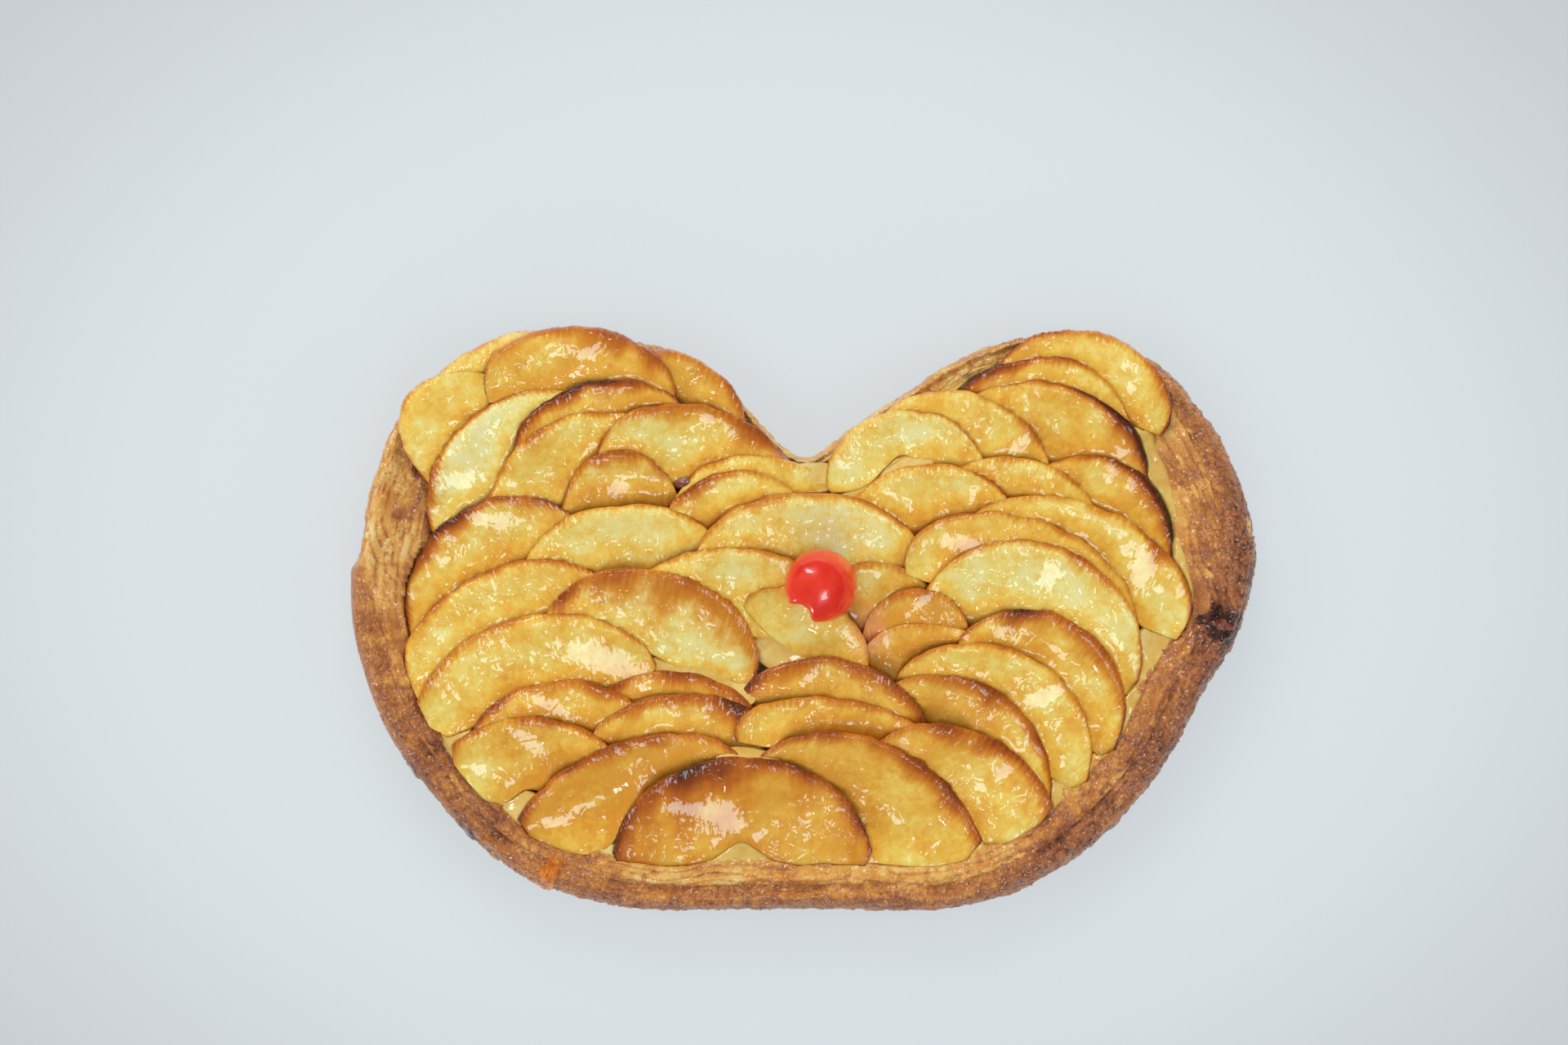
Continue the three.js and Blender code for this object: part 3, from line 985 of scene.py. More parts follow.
# ---- apple slices ------------------------------------------------------------------------------
@dataclass(frozen=True)
class Bake:
    """How one slice took the oven.

    edge is how brown the peel's edge is and width how far that reaches in, in millimetres; tone
    runs from pale to amber flesh; peak adds a darker stretch at a share of the way from the left
    end; char is the general browning and ruffle the depth of the edge's pleats.
    """

    edge: float = 0.5
    width: float = 2.2
    tone: float = 0.45
    peak: float = 0.0
    at: float = 0.5
    spread: float = 0.25
    char: float = 0.0
    ruffle: float = 0.6


BAKES = {
    "left_lobe": [
        Bake(0.36, 1.8, 0.24, 0.24, 0.02, 0.2, ruffle=1.8), Bake(0.36, 1.5, 0.4, 0.2, 0.0, 0.2),
        Bake(0.48, 3.2, 0.55, char=0.08, ruffle=1.2),
        Bake(0.44, 2.6, 0.6, 0.1, 0.6, char=0.1, ruffle=1.3), Bake(0.5, 1.6, 0.1, 0.15, 0.1, 0.15),
        Bake(0.72, 1.6, 0.46, 0.22, 0.45, 0.35), Bake(0.46, 2.0, 0.36),
        Bake(0.52, 2.8, 0.42, 0.15, 0.6, 0.2), Bake(0.58, 1.9, 0.34, 0.12, 0.5, 0.3),
        Bake(0.32, 1.8, 0.26), Bake(0.42, 2.0, 0.4, 0.24, 0.3, 0.2),
    ],
    "right_lobe": [
        Bake(0.56, 2.4, 0.4, 0.36, 1.0, 0.2, ruffle=1.9), Bake(0.5, 1.8, 0.42, 0.6, 0.14, 0.26),
        Bake(0.5, 1.8, 0.5, 0.62, 0.82, 0.24), Bake(0.4, 1.8, 0.35), Bake(0.36, 1.4, 0.25),
        Bake(0.55, 1.8, 0.5, 0.7, 0.74, 0.3), Bake(0.42, 1.8, 0.45), Bake(0.42, 1.6, 0.35),
    ],
    "middle": [
        Bake(0.6, 2.2, 0.45, 0.2, 0.6, 0.3), Bake(0.34, 1.4, 0.2), Bake(0.46, 2.2, 0.2),
        Bake(0.5, 2.6, 0.45), Bake(0.34, 1.6, 0.25), Bake(0.46, 1.8, 0.4),
        Bake(0.56, 4.8, 0.26, 0.06, 0.5, 0.35, ruffle=0.3), Bake(0.44, 1.6, 0.5, 0.1, 0.2, 0.2),
    ],
    "right_side": [
        Bake(0.46, 2.0, 0.4, 0.15, 0.8, 0.2), Bake(0.46, 2.0, 0.45), Bake(0.46, 2.0, 0.25),
        Bake(0.46, 3.4, 0.6), Bake(0.42, 2.6, 0.5), Bake(0.72, 2.6, 0.45, 0.1, 0.5, 0.3),
        Bake(0.46, 2.0, 0.4), Bake(0.42, 2.0, 0.4),
    ],
    "lower": [
        Bake(0.6, 2.6, 0.4, 0.1, 0.4, 0.3), Bake(0.6, 3.4, 0.5, 0.1, 0.4, 0.4),
        Bake(0.6, 4.2, 0.5, 0.15, 0.85, 0.25), Bake(0.6, 3.2, 0.55, ruffle=1.0),
        Bake(0.6, 3.4, 0.5, 0.2, 0.7, 0.3), Bake(0.46, 3.0, 0.55),
        Bake(0.56, 3.0, 0.55, 0.1, 0.6, 0.3), Bake(0.5, 2.4, 0.6, ruffle=0.9),
    ],
    "front": [
        Bake(0.58, 2.8, 0.62, 0.1, 0.6, 0.3), Bake(0.56, 2.4, 0.84, 0.1, 0.5, 0.3),
        Bake(0.62, 4.4, 0.84, 0.03, 0.3, 0.3, char=0.14, ruffle=1.3),
    ],
}


class SliceSheet:
    """The outline and the lie of a slice, read from its solid.

    The solid's points lie in pairs, one above the other, on straight lines from the peel to the
    core. ROWS are the shares of the way at which they lie.
    """

    ROWS = (0.0, 0.11, 0.5, 1.0)
    SAME = 0.004 * MM
    NEAR = 0.03 * MM

    def __init__(self, node: bpy.types.Object) -> None:
        """Reads the solid.

        Args:
            node: The slice's solid.
        """
        corners = np.array([vert.co[:] for vert in node.data.vertices], float)
        points = np.unique(np.round(corners, 6), axis=0)
        apart = np.linalg.norm(points[:, None, :2] - points[None, :, :2], axis=2)
        np.fill_diagonal(apart, 1)
        mate = apart.argmin(1)
        below = [i for i in range(len(points)) if points[i, 2] < points[mate[i], 2]]
        self.plan = points[below, :2]
        self.low = points[below, 2]
        self.thick = points[mate[below], 2] - self.low
        lines = [line for start in self.peel_points() for line in [self.line_from(start)] if line]
        centre = self.plan[[line[-1] for line in lines]].mean(0)
        towards = self.plan[[line[0] for line in lines]].mean(0) - centre
        facing = math.atan2(towards[1], towards[0])

        def turn(line: tuple[int, ...]) -> float:
            """Angle of a line's peel point round the core, from the way the peel faces."""
            x, y = self.plan[line[0]] - centre
            return (math.atan2(y, x) - facing + math.pi) % (2 * math.pi)

        self.lines = np.array(sorted(lines, key=turn))

    def peel_points(self) -> list[int]:
        """Points of the peel's edge, which all have the same thickness.

        Returns:
            Their numbers.
        """
        alike = np.abs(self.thick[:, None] - self.thick[None]) < self.SAME
        commonest = alike.sum(1).argmax()
        return list(np.flatnonzero(alike[commonest]))

    def line_from(self, start: int) -> tuple[int, ...] | None:
        """The points on the line from a peel point to the core, or None.

        Args:
            start: The peel point.

        Returns:
            The line's points from the peel to the core.
        """
        for end in range(len(self.plan)):
            if end == start:
                continue
            steps = self.plan[start] + np.outer(self.ROWS, self.plan[end] - self.plan[start])
            apart = np.linalg.norm(self.plan[None] - steps[:, None], axis=2)
            if (apart.min(1) < self.NEAR).all():
                return tuple(int(i) for i in apart.argmin(1))
        return None


@dataclass
class SliceForm:
    """A shaped slice that still waits for its glaze: its grid, its points and their marks."""

    node: str
    shell: Shell
    points: Array
    bake: Array
    tone: Array
    peel: Array
    grain: Array

    def upper_grid(self, finer: int) -> Array:
        """The upper face's points as a grid, with more points put between.

        Args:
            finer: Steps that each step of the grid is split into.

        Returns:
            The points, column by column.
        """
        across, along = (len(np.unique(values)) - 1 for values in (self.shell.u, self.shell.v))
        grid = np.zeros((across + 1, along + 1, 3))
        up = self.shell.upper
        i = np.round(self.shell.u[up] * across).astype(int)
        j = np.round(self.shell.v[up] * along).astype(int)
        grid[i, j] = self.points[up]
        for axis, count in ((0, across), (1, along)):
            at = np.arange(count * finer) / finer
            k = at.astype(int)
            share = (at - k).reshape((-1, 1, 1) if axis == 0 else (1, -1, 1))
            grid = np.take(grid, k, axis) * (1 - share) + np.take(grid, k + 1, axis) * share
        return grid.reshape(-1, 3)


class GlazePool:
    """The pile seen from above, and how high the glaze stands in its hollows.

    The glaze is the surface that a ball rolled over the pile can't reach below.
    """

    CELL = 0.5 * MM
    BALL = 8 * MM
    MARGIN = 6
    DEEPEST = 3.2 * MM
    SHARE = 0.94
    AMBER_AND_SHADE_DEPTH = 2.2 * MM

    def __init__(self, forms: list[SliceForm]) -> None:
        """Maps the pile.

        Args:
            forms: The slices in the order they were laid.
        """
        size = (np.array(Bounds.high)[:2] - np.array(Bounds.low)[:2]) / self.CELL
        self.shape = tuple(int(n) + 2 * self.MARGIN + 2 for n in size)
        self.top = np.full(self.shape, -1.0)
        self.owner = np.full(self.shape, -1)
        for number, form in enumerate(forms):
            points = form.upper_grid(3)
            i, j = (np.round(c).astype(int) for c in self.cell(points))
            layer = np.full(self.shape, -1.0)
            np.maximum.at(layer, (i, j), points[:, 2])
            above = layer > self.top
            self.top[above] = layer[above]
            self.owner[above] = number
        self.level = self.closing()

    def include(self, points: Array) -> None:
        """Adds more points to the pile, such as the rim's, and rolls the ball again.

        Args:
            points: The points.
        """
        inside = points[:, 2] > 1 * MM
        i, j = (np.round(c[inside]).astype(int) for c in self.cell(points))
        np.maximum.at(self.top, (i, j), points[inside, 2])
        self.level = self.closing()

    def cell(self, points: Array) -> tuple[Array, Array]:
        """Places of points in the map, counted in cells."""
        low = np.array(Bounds.low)
        return tuple((points[:, k] - low[k]) / self.CELL + self.MARGIN for k in (0, 1))

    def closing(self) -> Array:
        """The surface left by the ball.

        Returns:
            Its height in every cell.
        """
        reach = int(self.BALL / self.CELL)
        offsets = [(i, j) for i in range(-reach, reach + 1) for j in range(-reach, reach + 1)]
        surface = self.top.copy()
        for sign in (1, -1):
            best = np.full(self.shape, -np.inf)
            for i, j in offsets:
                flat = math.hypot(i, j) * self.CELL
                if flat < self.BALL:
                    drop = math.sqrt(self.BALL ** 2 - flat ** 2) - self.BALL
                    best = np.maximum(best, np.roll(sign * surface, (i, j), (0, 1)) + drop)
            surface = sign * best
        return surface

    def sample(self, values: Array, points: Array) -> Array:
        """A map's values at points, eased between cells.

        Args:
            values: The map.
            points: Places, of which only the first two coordinates count.

        Returns:
            One value for each point.
        """
        x, y = self.cell(points)
        i, j = np.floor(x).astype(int), np.floor(y).astype(int)
        p, q = x - i, y - j
        low = values[i, j] * (1 - p) + values[i + 1, j] * p
        return low * (1 - q) + (values[i, j + 1] * (1 - p) + values[i + 1, j + 1] * p) * q

    def spread(self, cells: Array, times: int) -> Array:
        """Marked cells with some more round them, and a softened edge.

        Args:
            cells: The marked cells.
            times: Rings of cells that are added.

        Returns:
            How far each cell is marked, from 0 to 1.
        """
        marked = cells.astype(float)
        for _ in range(times):
            shifted = [np.roll(marked, shift, axis) for axis in (0, 1) for shift in (-1, 0, 1)]
            marked = np.maximum.reduce(shifted)
        for axis in (0, 1):
            marked = (np.roll(marked, 1, axis) + marked + np.roll(marked, -1, axis)) / 3
        return marked

    def fill(self, form: SliceForm, number: int) -> None:
        """Raises a slice's upper face to the glaze where it shows, and tints it amber with the
        glaze's depth: partly the colour of deeper glaze, partly painted shade in the hollows
        between slices.

        Args:
            form: The slice.
            number: Its place in the order.
        """
        shown = self.spread(self.owner == number, 3)
        depth = np.clip(self.sample(self.level, form.points) - form.points[:, 2], 0, self.DEEPEST)
        depth *= self.sample(shown, form.points) * form.shell.upper
        form.points[:, 2] += self.SHARE * depth
        # Partly painted shade: flesh under deeper glaze, in the hollows between slices, turns more
        # amber and darker.
        form.tone = form.tone + 0.4 * np.clip(depth / self.AMBER_AND_SHADE_DEPTH, 0, 1)


@dataclass
class AppleSlice:
    """One half-moon slice: a rounded sheet with fibres, pleats at the peel and its own browning."""

    node: str
    bake: Bake
    seed: int
    columns: int = 160
    rows: int = 20
    end_ease: float = 0.8
    tip_ease: float = 0.6
    pleat_step: float = 1.9 * MM
    pleat_depth: float = 0.34 * MM
    pleat_reach: float = 4.2 * MM
    pleat_cut: float = 0.16 * MM
    wobble: float = 1.3 * MM
    sag: float = 0.35 * MM
    sag_reach: float = 1.5 * MM
    tint_reach: float = 4.5 * MM
    fibre_depth: float = 0.10 * MM
    wave_depth: float = 0.45 * MM
    dimple_depth: float = 0.22 * MM
    brow_height: float = 0.20 * MM
    hollow_depth: float = 0.28 * MM
    least: float = 0.05 * MM
    tip_round: float = 1.2 * MM
    peel_round: float = 0.8 * MM
    core_round: float = 0.5 * MM

    def shape(self, solid: bpy.types.Object) -> SliceForm:
        """Shapes the slice, without its glaze.

        Args:
            solid: Its solid.

        Returns:
            The slice's form.
        """
        sheet = SliceSheet(solid)
        shell = Shell(self.columns, self.rows)
        u = shell.u - self.tip_ease * np.sin(2 * np.pi * shell.u) / (2 * np.pi)
        v = shell.v - self.end_ease * np.sin(2 * np.pi * shell.v) / (2 * np.pi)
        last = len(sheet.lines) - 1
        ends = catmull_rom(sheet.plan[sheet.lines[:, [0, -1]]], u * last)
        lows = catmull_rom(sheet.low[sheet.lines], u * last)
        thicks = catmull_rom(sheet.thick[sheet.lines], u * last)
        peel, core = ends[:, 0], ends[:, 1]
        length = np.linalg.norm(core - peel, axis=1)
        arc = self.arc_length(sheet, u * last)
        depth = v * length
        tips = np.minimum(arc, arc.max() - arc)
        grains = Grain.several(self.seed, 6)
        pleat = self.pleats(arc, depth, grains)
        swing = 0.6 * grains[2].at(arc, 0, 6 * MM) + 0.4 * grains[3].at(arc, 5, 2.6 * MM)
        inset = self.wobble * (0.5 + 0.5 * swing) * (1 - v) ** 3
        pleats_end = np.exp(-depth / self.pleat_reach)
        inset += self.pleat_cut * self.bake.ruffle * (0.5 - 0.5 * pleat) * pleats_end
        share = v + inset / length
        plan = peel + (core - peel) * share[:, None]
        low = self.between_rows(lows, share)
        edge = np.minimum(np.minimum(depth, length - depth), tips)
        low = low - self.sag * np.exp(-edge / self.sag_reach)
        second = sheet.ROWS[1]
        full = thicks[:, 1] + (thicks[:, 3] - thicks[:, 1]) * (share - second) / (1 - second)
        rise = np.sin(np.pi / 2 * np.clip(depth / (second * length + 0.6 * MM), 0, 1))
        body = thicks[:, 0] + (full - thicks[:, 0]) * rise
        rim = quarter_round(depth, self.peel_round) * quarter_round(length - depth, self.core_round)
        rim *= quarter_round(tips, self.tip_round)
        relief = self.relief(plan, arc, depth, length, pleat, grains)
        height = np.maximum(body * rim + relief * rim, self.least)
        points = np.column_stack([plan, low + np.where(shell.upper, height, 0)])
        peel_share = np.exp(-depth / self.tint_reach)
        tone = self.bake.tone + 0.12 * grains[4].over(plan, 9 * MM) + 0.25 * peel_share
        bake = self.browning(arc, depth, length, tips, pleat, grains)
        grain = np.column_stack([arc, depth]) / MAP_UNIT + self.seed % 97
        return SliceForm(self.node, shell, points, bake, tone, peel_share, grain)

    def arc_length(self, sheet: SliceSheet, at: Array) -> Array:
        """Distance along the peel at positions counted in columns.

        Args:
            sheet: The slice's sheet.
            at: The positions.

        Returns:
            The distances.
        """
        knots = np.linspace(0, len(sheet.lines) - 1, 400)
        peel = catmull_rom(sheet.plan[sheet.lines[:, 0]], knots)
        along = np.append(0, np.cumsum(np.linalg.norm(np.diff(peel, axis=0), axis=1)))
        return np.interp(at, knots, along)

    def between_rows(self, lows: Array, share: Array) -> Array:
        """Height of the underside between the solid's rows, on a smooth curve.

        Args:
            lows: The heights at the rows, for each point.
            share: Where each point lies from peel to core.

        Returns:
            One height for each point.
        """
        rows = np.array(SliceSheet.ROWS)
        steps = np.diff(rows)
        slopes = np.diff(lows, axis=1) / steps
        inner = (slopes[:, :-1] * steps[1:] + slopes[:, 1:] * steps[:-1]) / (steps[1:] + steps[:-1])
        tangents = np.column_stack([slopes[:, 0], inner, slopes[:, -1]])
        k = np.clip(np.searchsorted(rows, share, side="right") - 1, 0, len(steps) - 1)
        t = (share - rows[k]) / steps[k]
        pick = np.arange(len(share))
        a, b = lows[pick, k], lows[pick, k + 1]
        ta, tb = tangents[pick, k] * steps[k], tangents[pick, k + 1] * steps[k]
        return (a * (1 + 2 * t) + ta * t) * (1 - t) ** 2 + (b * (3 - 2 * t) + tb * (t - 1)) * t * t

    def pleats(self, arc: Array, depth: Array, grains: list[Grain]) -> Array:
        """Fine pleats across the peel's edge, from -1 to 1."""
        phase = 2 * np.pi * arc / self.pleat_step + 2.4 * grains[0].at(arc, depth, 6 * MM, 12 * MM)
        return np.sin(phase) * (0.55 + 0.45 * grains[1].at(arc, 0, 7 * MM))

    def relief(
        self,
        plan: Array,
        arc: Array,
        depth: Array,
        length: Array,
        pleat: Array,
        grains: list[Grain],
    ) -> Array:
        """Height added to the slice's upper face.

        Args:
            plan: Places seen from above.
            arc: Distance along the peel.
            depth: Distance in from the peel.
            length: Distance from peel to core.
            pleat: The peel's pleats.
            grains: The slice's noises.

        Returns:
            The height at each point.
        """
        made = self.pleat_depth * self.bake.ruffle * pleat * np.exp(-depth / self.pleat_reach)
        made += self.fibre_depth * grains[3].at(arc, depth, 1.7 * MM, 9 * MM)
        made += self.wave_depth * grains[4].over(plan, 10 * MM)
        made += self.dimple_depth * grains[1].over(plan, 4.5 * MM)
        made += self.brow_height * bell(depth, 1.0 * MM, 0.9 * MM)
        made -= self.hollow_depth * bell(depth, 0.55 * length, 0.3 * length)
        return made

    def browning(
        self,
        arc: Array,
        depth: Array,
        length: Array,
        tips: Array,
        pleat: Array,
        grains: list[Grain],
    ) -> Array:
        """How far each point is baked, from 0 for pale flesh to 1 for burnt.

        Args:
            arc: Distance along the peel.
            depth: Distance in from the peel.
            length: Distance from peel to core.
            tips: Distance from the nearer tip.
            pleat: The peel's pleats.
            grains: The slice's noises.

        Returns:
            The browning at each point.
        """
        bake = self.bake
        patch = bell(1 - arc / arc.max(), bake.at, bake.spread)
        edge = bake.edge * (0.85 + 0.3 * grains[5].at(arc, 0, 8 * MM)) + bake.peak * patch
        width = bake.width * MM * (0.8 + 0.35 * grains[2].at(arc, 3, 6 * MM))
        width *= 0.7 + 0.6 * patch * (bake.peak > 0)
        streaks = 1 + 0.16 * grains[3].at(arc, depth, 1.5 * MM, 5 * MM)
        reach = depth / (width * streaks)
        band = edge * (0.5 * bell(reach, 0, 1.5) + 0.46 * np.exp(-reach / 4.0))
        band += 0.08 * pleat * np.exp(-depth / self.pleat_reach)
        band += 0.14 * np.exp(-tips / (3 * MM)) + 0.08 * np.exp(-(length - depth) / (1.5 * MM))
        return band + bake.char + 0.05


@dataclass
class SliceRows:
    """All the slices, row by row in the order they were laid."""

    seed: int = 500
    seed_step: int = 11

    def build(self, nodes: dict[str, bpy.types.Object], finish: bpy.types.Material) -> GlazePool:
        """Makes every slice.

        Args:
            nodes: The solids by name.
            finish: The slices' material.

        Returns:
            The glaze over them.
        """
        forms = []
        for row, bakes in BAKES.items():
            for i, bake in enumerate(bakes, 1):
                name, seed = f"apple_{row}_{i:02d}", self.seed + self.seed_step * (len(forms) + 1)
                forms.append(AppleSlice(name, bake, seed).shape(nodes[name]))
        pool = GlazePool(forms)
        for number, form in enumerate(forms):
            pool.fill(form, number)
            form.shell.move(form.points)
            marks = Marks({"bake": form.bake, "tone": form.tone, "peel": form.peel}, form.grain)
            name = form.node + "_glazed"
            make_piece(name, form.shell.form, finish, (form.node,), marks)
        return pool


# ---- pastry case -------------------------------------------------------------------------------
class Rim:
    """The rolled rim, read from the case's solid: its outline, the way inwards, and its section."""

    COUNT = 1152
    LEVELS = 64
    FINE = 16
    WIDEST = 27 * MM
    INSET = 0.5 * MM

    def __init__(self, node: bpy.types.Object) -> None:
        """Reads the solid.

        Args:
            node: The case's solid.
        """
        form = merged_form(node)
        self.tree = BVHTree.FromBMesh(form)
        ground = np.array([vert.co[:2] for vert in form.verts if vert.co.z < 0.01 * MM])
        self.height = max(vert.co.z for vert in form.verts)
        form.free()
        hub, ways = spokes(ground)
        foot = ways + hub
        fine = catmull_rom(foot, np.arange(len(foot) * self.FINE) / self.FINE, closed=True)
        steps = np.linalg.norm(np.roll(fine, -1, 0) - fine, axis=1)
        along = np.append(0, np.cumsum(steps))
        self.around = along[-1]
        at = np.linspace(0, self.around, self.COUNT, endpoint=False)
        closed = np.vstack([fine, fine[:1]])
        self.foot = np.column_stack([np.interp(at, along, closed[:, k]) for k in (0, 1)])
        self.arc = at
        ahead = np.roll(self.foot, -3, 0) - np.roll(self.foot, 3, 0)
        inward = soften(np.column_stack([-ahead[:, 1], ahead[:, 0]]), 6)
        self.inward = inward / np.linalg.norm(inward, axis=1)[:, None]
        turned = self.foot - hub
        self.bearing = np.degrees(np.arctan2(turned[:, 1], turned[:, 0])) % 360
        self.measure()
        self.section = self.sections()
        self.skin, self.out = self.section, self.normals()

    def measure(self) -> None:
        """Finds the rim's width and height at every station."""
        insets = np.arange(0, self.WIDEST, self.INSET)
        tops = np.zeros((self.COUNT, len(insets)))
        for i, (start, way) in enumerate(zip(self.foot, self.inward)):
            for j, inset in enumerate(insets):
                x, y = start + way * inset
                hit = self.tree.ray_cast(Vector((x, y, 2 * self.height)), Vector((0, 0, -1)))
                tops[i, j] = hit[0].z if hit[0] else 0
        floor = tops[:, -1].min() if tops.min() > 0 else np.median(tops[:, -1])
        self.floor = float(floor)
        self.tops, self.inset_step = tops, insets[1]
        low = (tops < self.floor + 0.1 * MM) & (insets > 2 * MM)
        self.width = soften(insets[low.argmax(1)], 6)
        self.crest = soften(np.where(insets[None] <= self.width[:, None], tops, 0).max(1), 6)

    def sections(self) -> Array:
        """Points of the roll's section at every station, from the foot over the crest inwards.

        Returns:
            The points, by station and level.
        """
        spine_in, spine_up = 0.42 * self.width, 0.35 * self.crest
        first = np.arctan2(-spine_up, -spine_in) + 2 * np.pi
        last = np.arctan2(self.floor - spine_up, self.width - spine_in)
        points = np.zeros((self.COUNT, self.LEVELS, 3))
        for i in range(self.COUNT):
            x, y = self.foot[i] + self.inward[i] * spine_in[i]
            heart = Vector((x, y, spine_up[i]))
            for j, angle in enumerate(np.linspace(first[i], last[i], self.LEVELS)):
                way = Vector((*(self.inward[i] * math.cos(angle)), math.sin(angle)))
                points[i, j] = self.tree.ray_cast(heart, way)[0]
        points = soften(points, 3.5)
        middle = points[:, 1:-1] * 0.5 + points[:, :-2] * 0.25 + points[:, 2:] * 0.25
        points[:, 1:-1] = middle
        points[:, 0, 2], points[:, -1, 2] = 0, self.floor
        return points

    def off(self, bearing: float) -> Array:
        """Degrees between every station and a bearing."""
        return np.abs((self.bearing - bearing + 180) % 360 - 180)

    def ring(self, rows: int) -> tuple[Shell, Array]:
        """A grid that runs round the rim, and the station of each of its points."""
        shell = Shell(self.COUNT, rows)
        return shell, np.round(shell.u * self.COUNT).astype(int) % self.COUNT

    def marks(self, bake: Array, gloss: Array, arc: Array, across: Array) -> Marks:
        """What the pastry's finish reads, with a map that runs round the rim."""
        places = np.column_stack([arc, across]) / MAP_UNIT
        return Marks({"bake": bake, "gloss": gloss}, places, self.around / MAP_UNIT)

    def on_top(self, station: Array, inset: Array) -> Array:
        """Points on the rim's upper side.

        Args:
            station: Places round the ring, counted in steps.
            inset: Distances inwards from the foot.

        Returns:
            One point for each pair.
        """
        i = np.round(station).astype(int) % self.COUNT
        plan = self.foot[i] + self.inward[i] * np.asarray(inset)[:, None]
        at = np.clip(inset / self.inset_step, 0, self.tops.shape[1] - 1.001)
        j = at.astype(int)
        height = self.tops[i, j] * (1 - at + j) + self.tops[i, j + 1] * (at - j)
        return np.column_stack([plan, height])

    def normals(self) -> Array:
        """Outward directions of the section's points.

        Returns:
            The directions, by station and level.
        """
        round_about = np.roll(self.section, -1, 0) - np.roll(self.section, 1, 0)
        across = np.gradient(self.section, axis=1)
        out = np.cross(round_about, across)
        return out / np.linalg.norm(out, axis=2)[..., None]


class RingNoise:
    """Seeded noises along the rim that meet themselves where the ring closes."""

    COUNT = 8

    def __init__(self, rim: Rim, seed: int, arc: Array, join: float) -> None:
        """Draws the noises.

        Args:
            rim: The rim as measured.
            seed: The first noise's seed.
            arc: Distance of each point along the rim.
            join: Length over which the end is eased into the start.
        """
        self.grains = Grain.several(seed, self.COUNT)
        self.arc, self.back = arc, arc - rim.around
        self.share = smoothstep(0, join, rim.around - arc)

    def at(self, k: int, across: Array, step: float, step_y: float | None = None) -> Array:
        """Noise number k at distances across the rim."""
        here, back = (self.grains[k].at(x, across, step, step_y) for x in (self.arc, self.back))
        return here * self.share + back * (1 - self.share)


@dataclass(frozen=True)
class Toast:
    """Browning of the rim at one bearing: the outer roll, the inner lip and their gloss."""

    bearing: float
    roll: float
    lip: float
    gloss: float = 0.2


@dataclass(frozen=True)
class Spot:
    """A patch of the rim that is browner or paler: where, how big, by how much."""

    bearing: float
    share: float
    half_turn: float
    half_share: float
    change: float


SPOTS = [
    Spot(14, 0.27, 1.2, 0.05, -0.6), Spot(1, 0.62, 2, 0.4, 0.22), Spot(199, 0.4, 3, 0.16, 0.14),
    Spot(210, 0.36, 3, 0.16, 0.1),
]

TOASTS = [
    Toast(0, 0.86, 0.8, 0.6), Toast(5, 0.78, 0.66, 0.35), Toast(14, 0.66, 0.46, 0.3),
    Toast(26, 0.5, 0.3, 0.4), Toast(38, 0.44, 0.32, 0.4), Toast(54, 0.3, 0.24, 0.4),
    Toast(72, 0.26, 0.2, 0.4), Toast(89, 0.14, 0.08, 0.6), Toast(104, 0.26, 0.2, 0.4),
    Toast(124, 0.34, 0.3), Toast(148, 0.36, 0.3), Toast(160, 0.26, 0.2, 0.3),
    Toast(172, 0.4, 0.24, 0.3), Toast(180, 0.54, 0.5), Toast(192, 0.58, 0.52, 0.3),
    Toast(200, 0.58, 0.58, 0.3), Toast(212, 0.52, 0.52, 0.4), Toast(222, 0.54, 0.52, 0.4),
    Toast(238, 0.62, 0.45), Toast(262, 0.63, 0.36), Toast(290, 0.65, 0.4),
    Toast(318, 0.66, 0.56, 0.3), Toast(340, 0.68, 0.6, 0.3), Toast(354, 0.72, 0.62, 0.5),
]


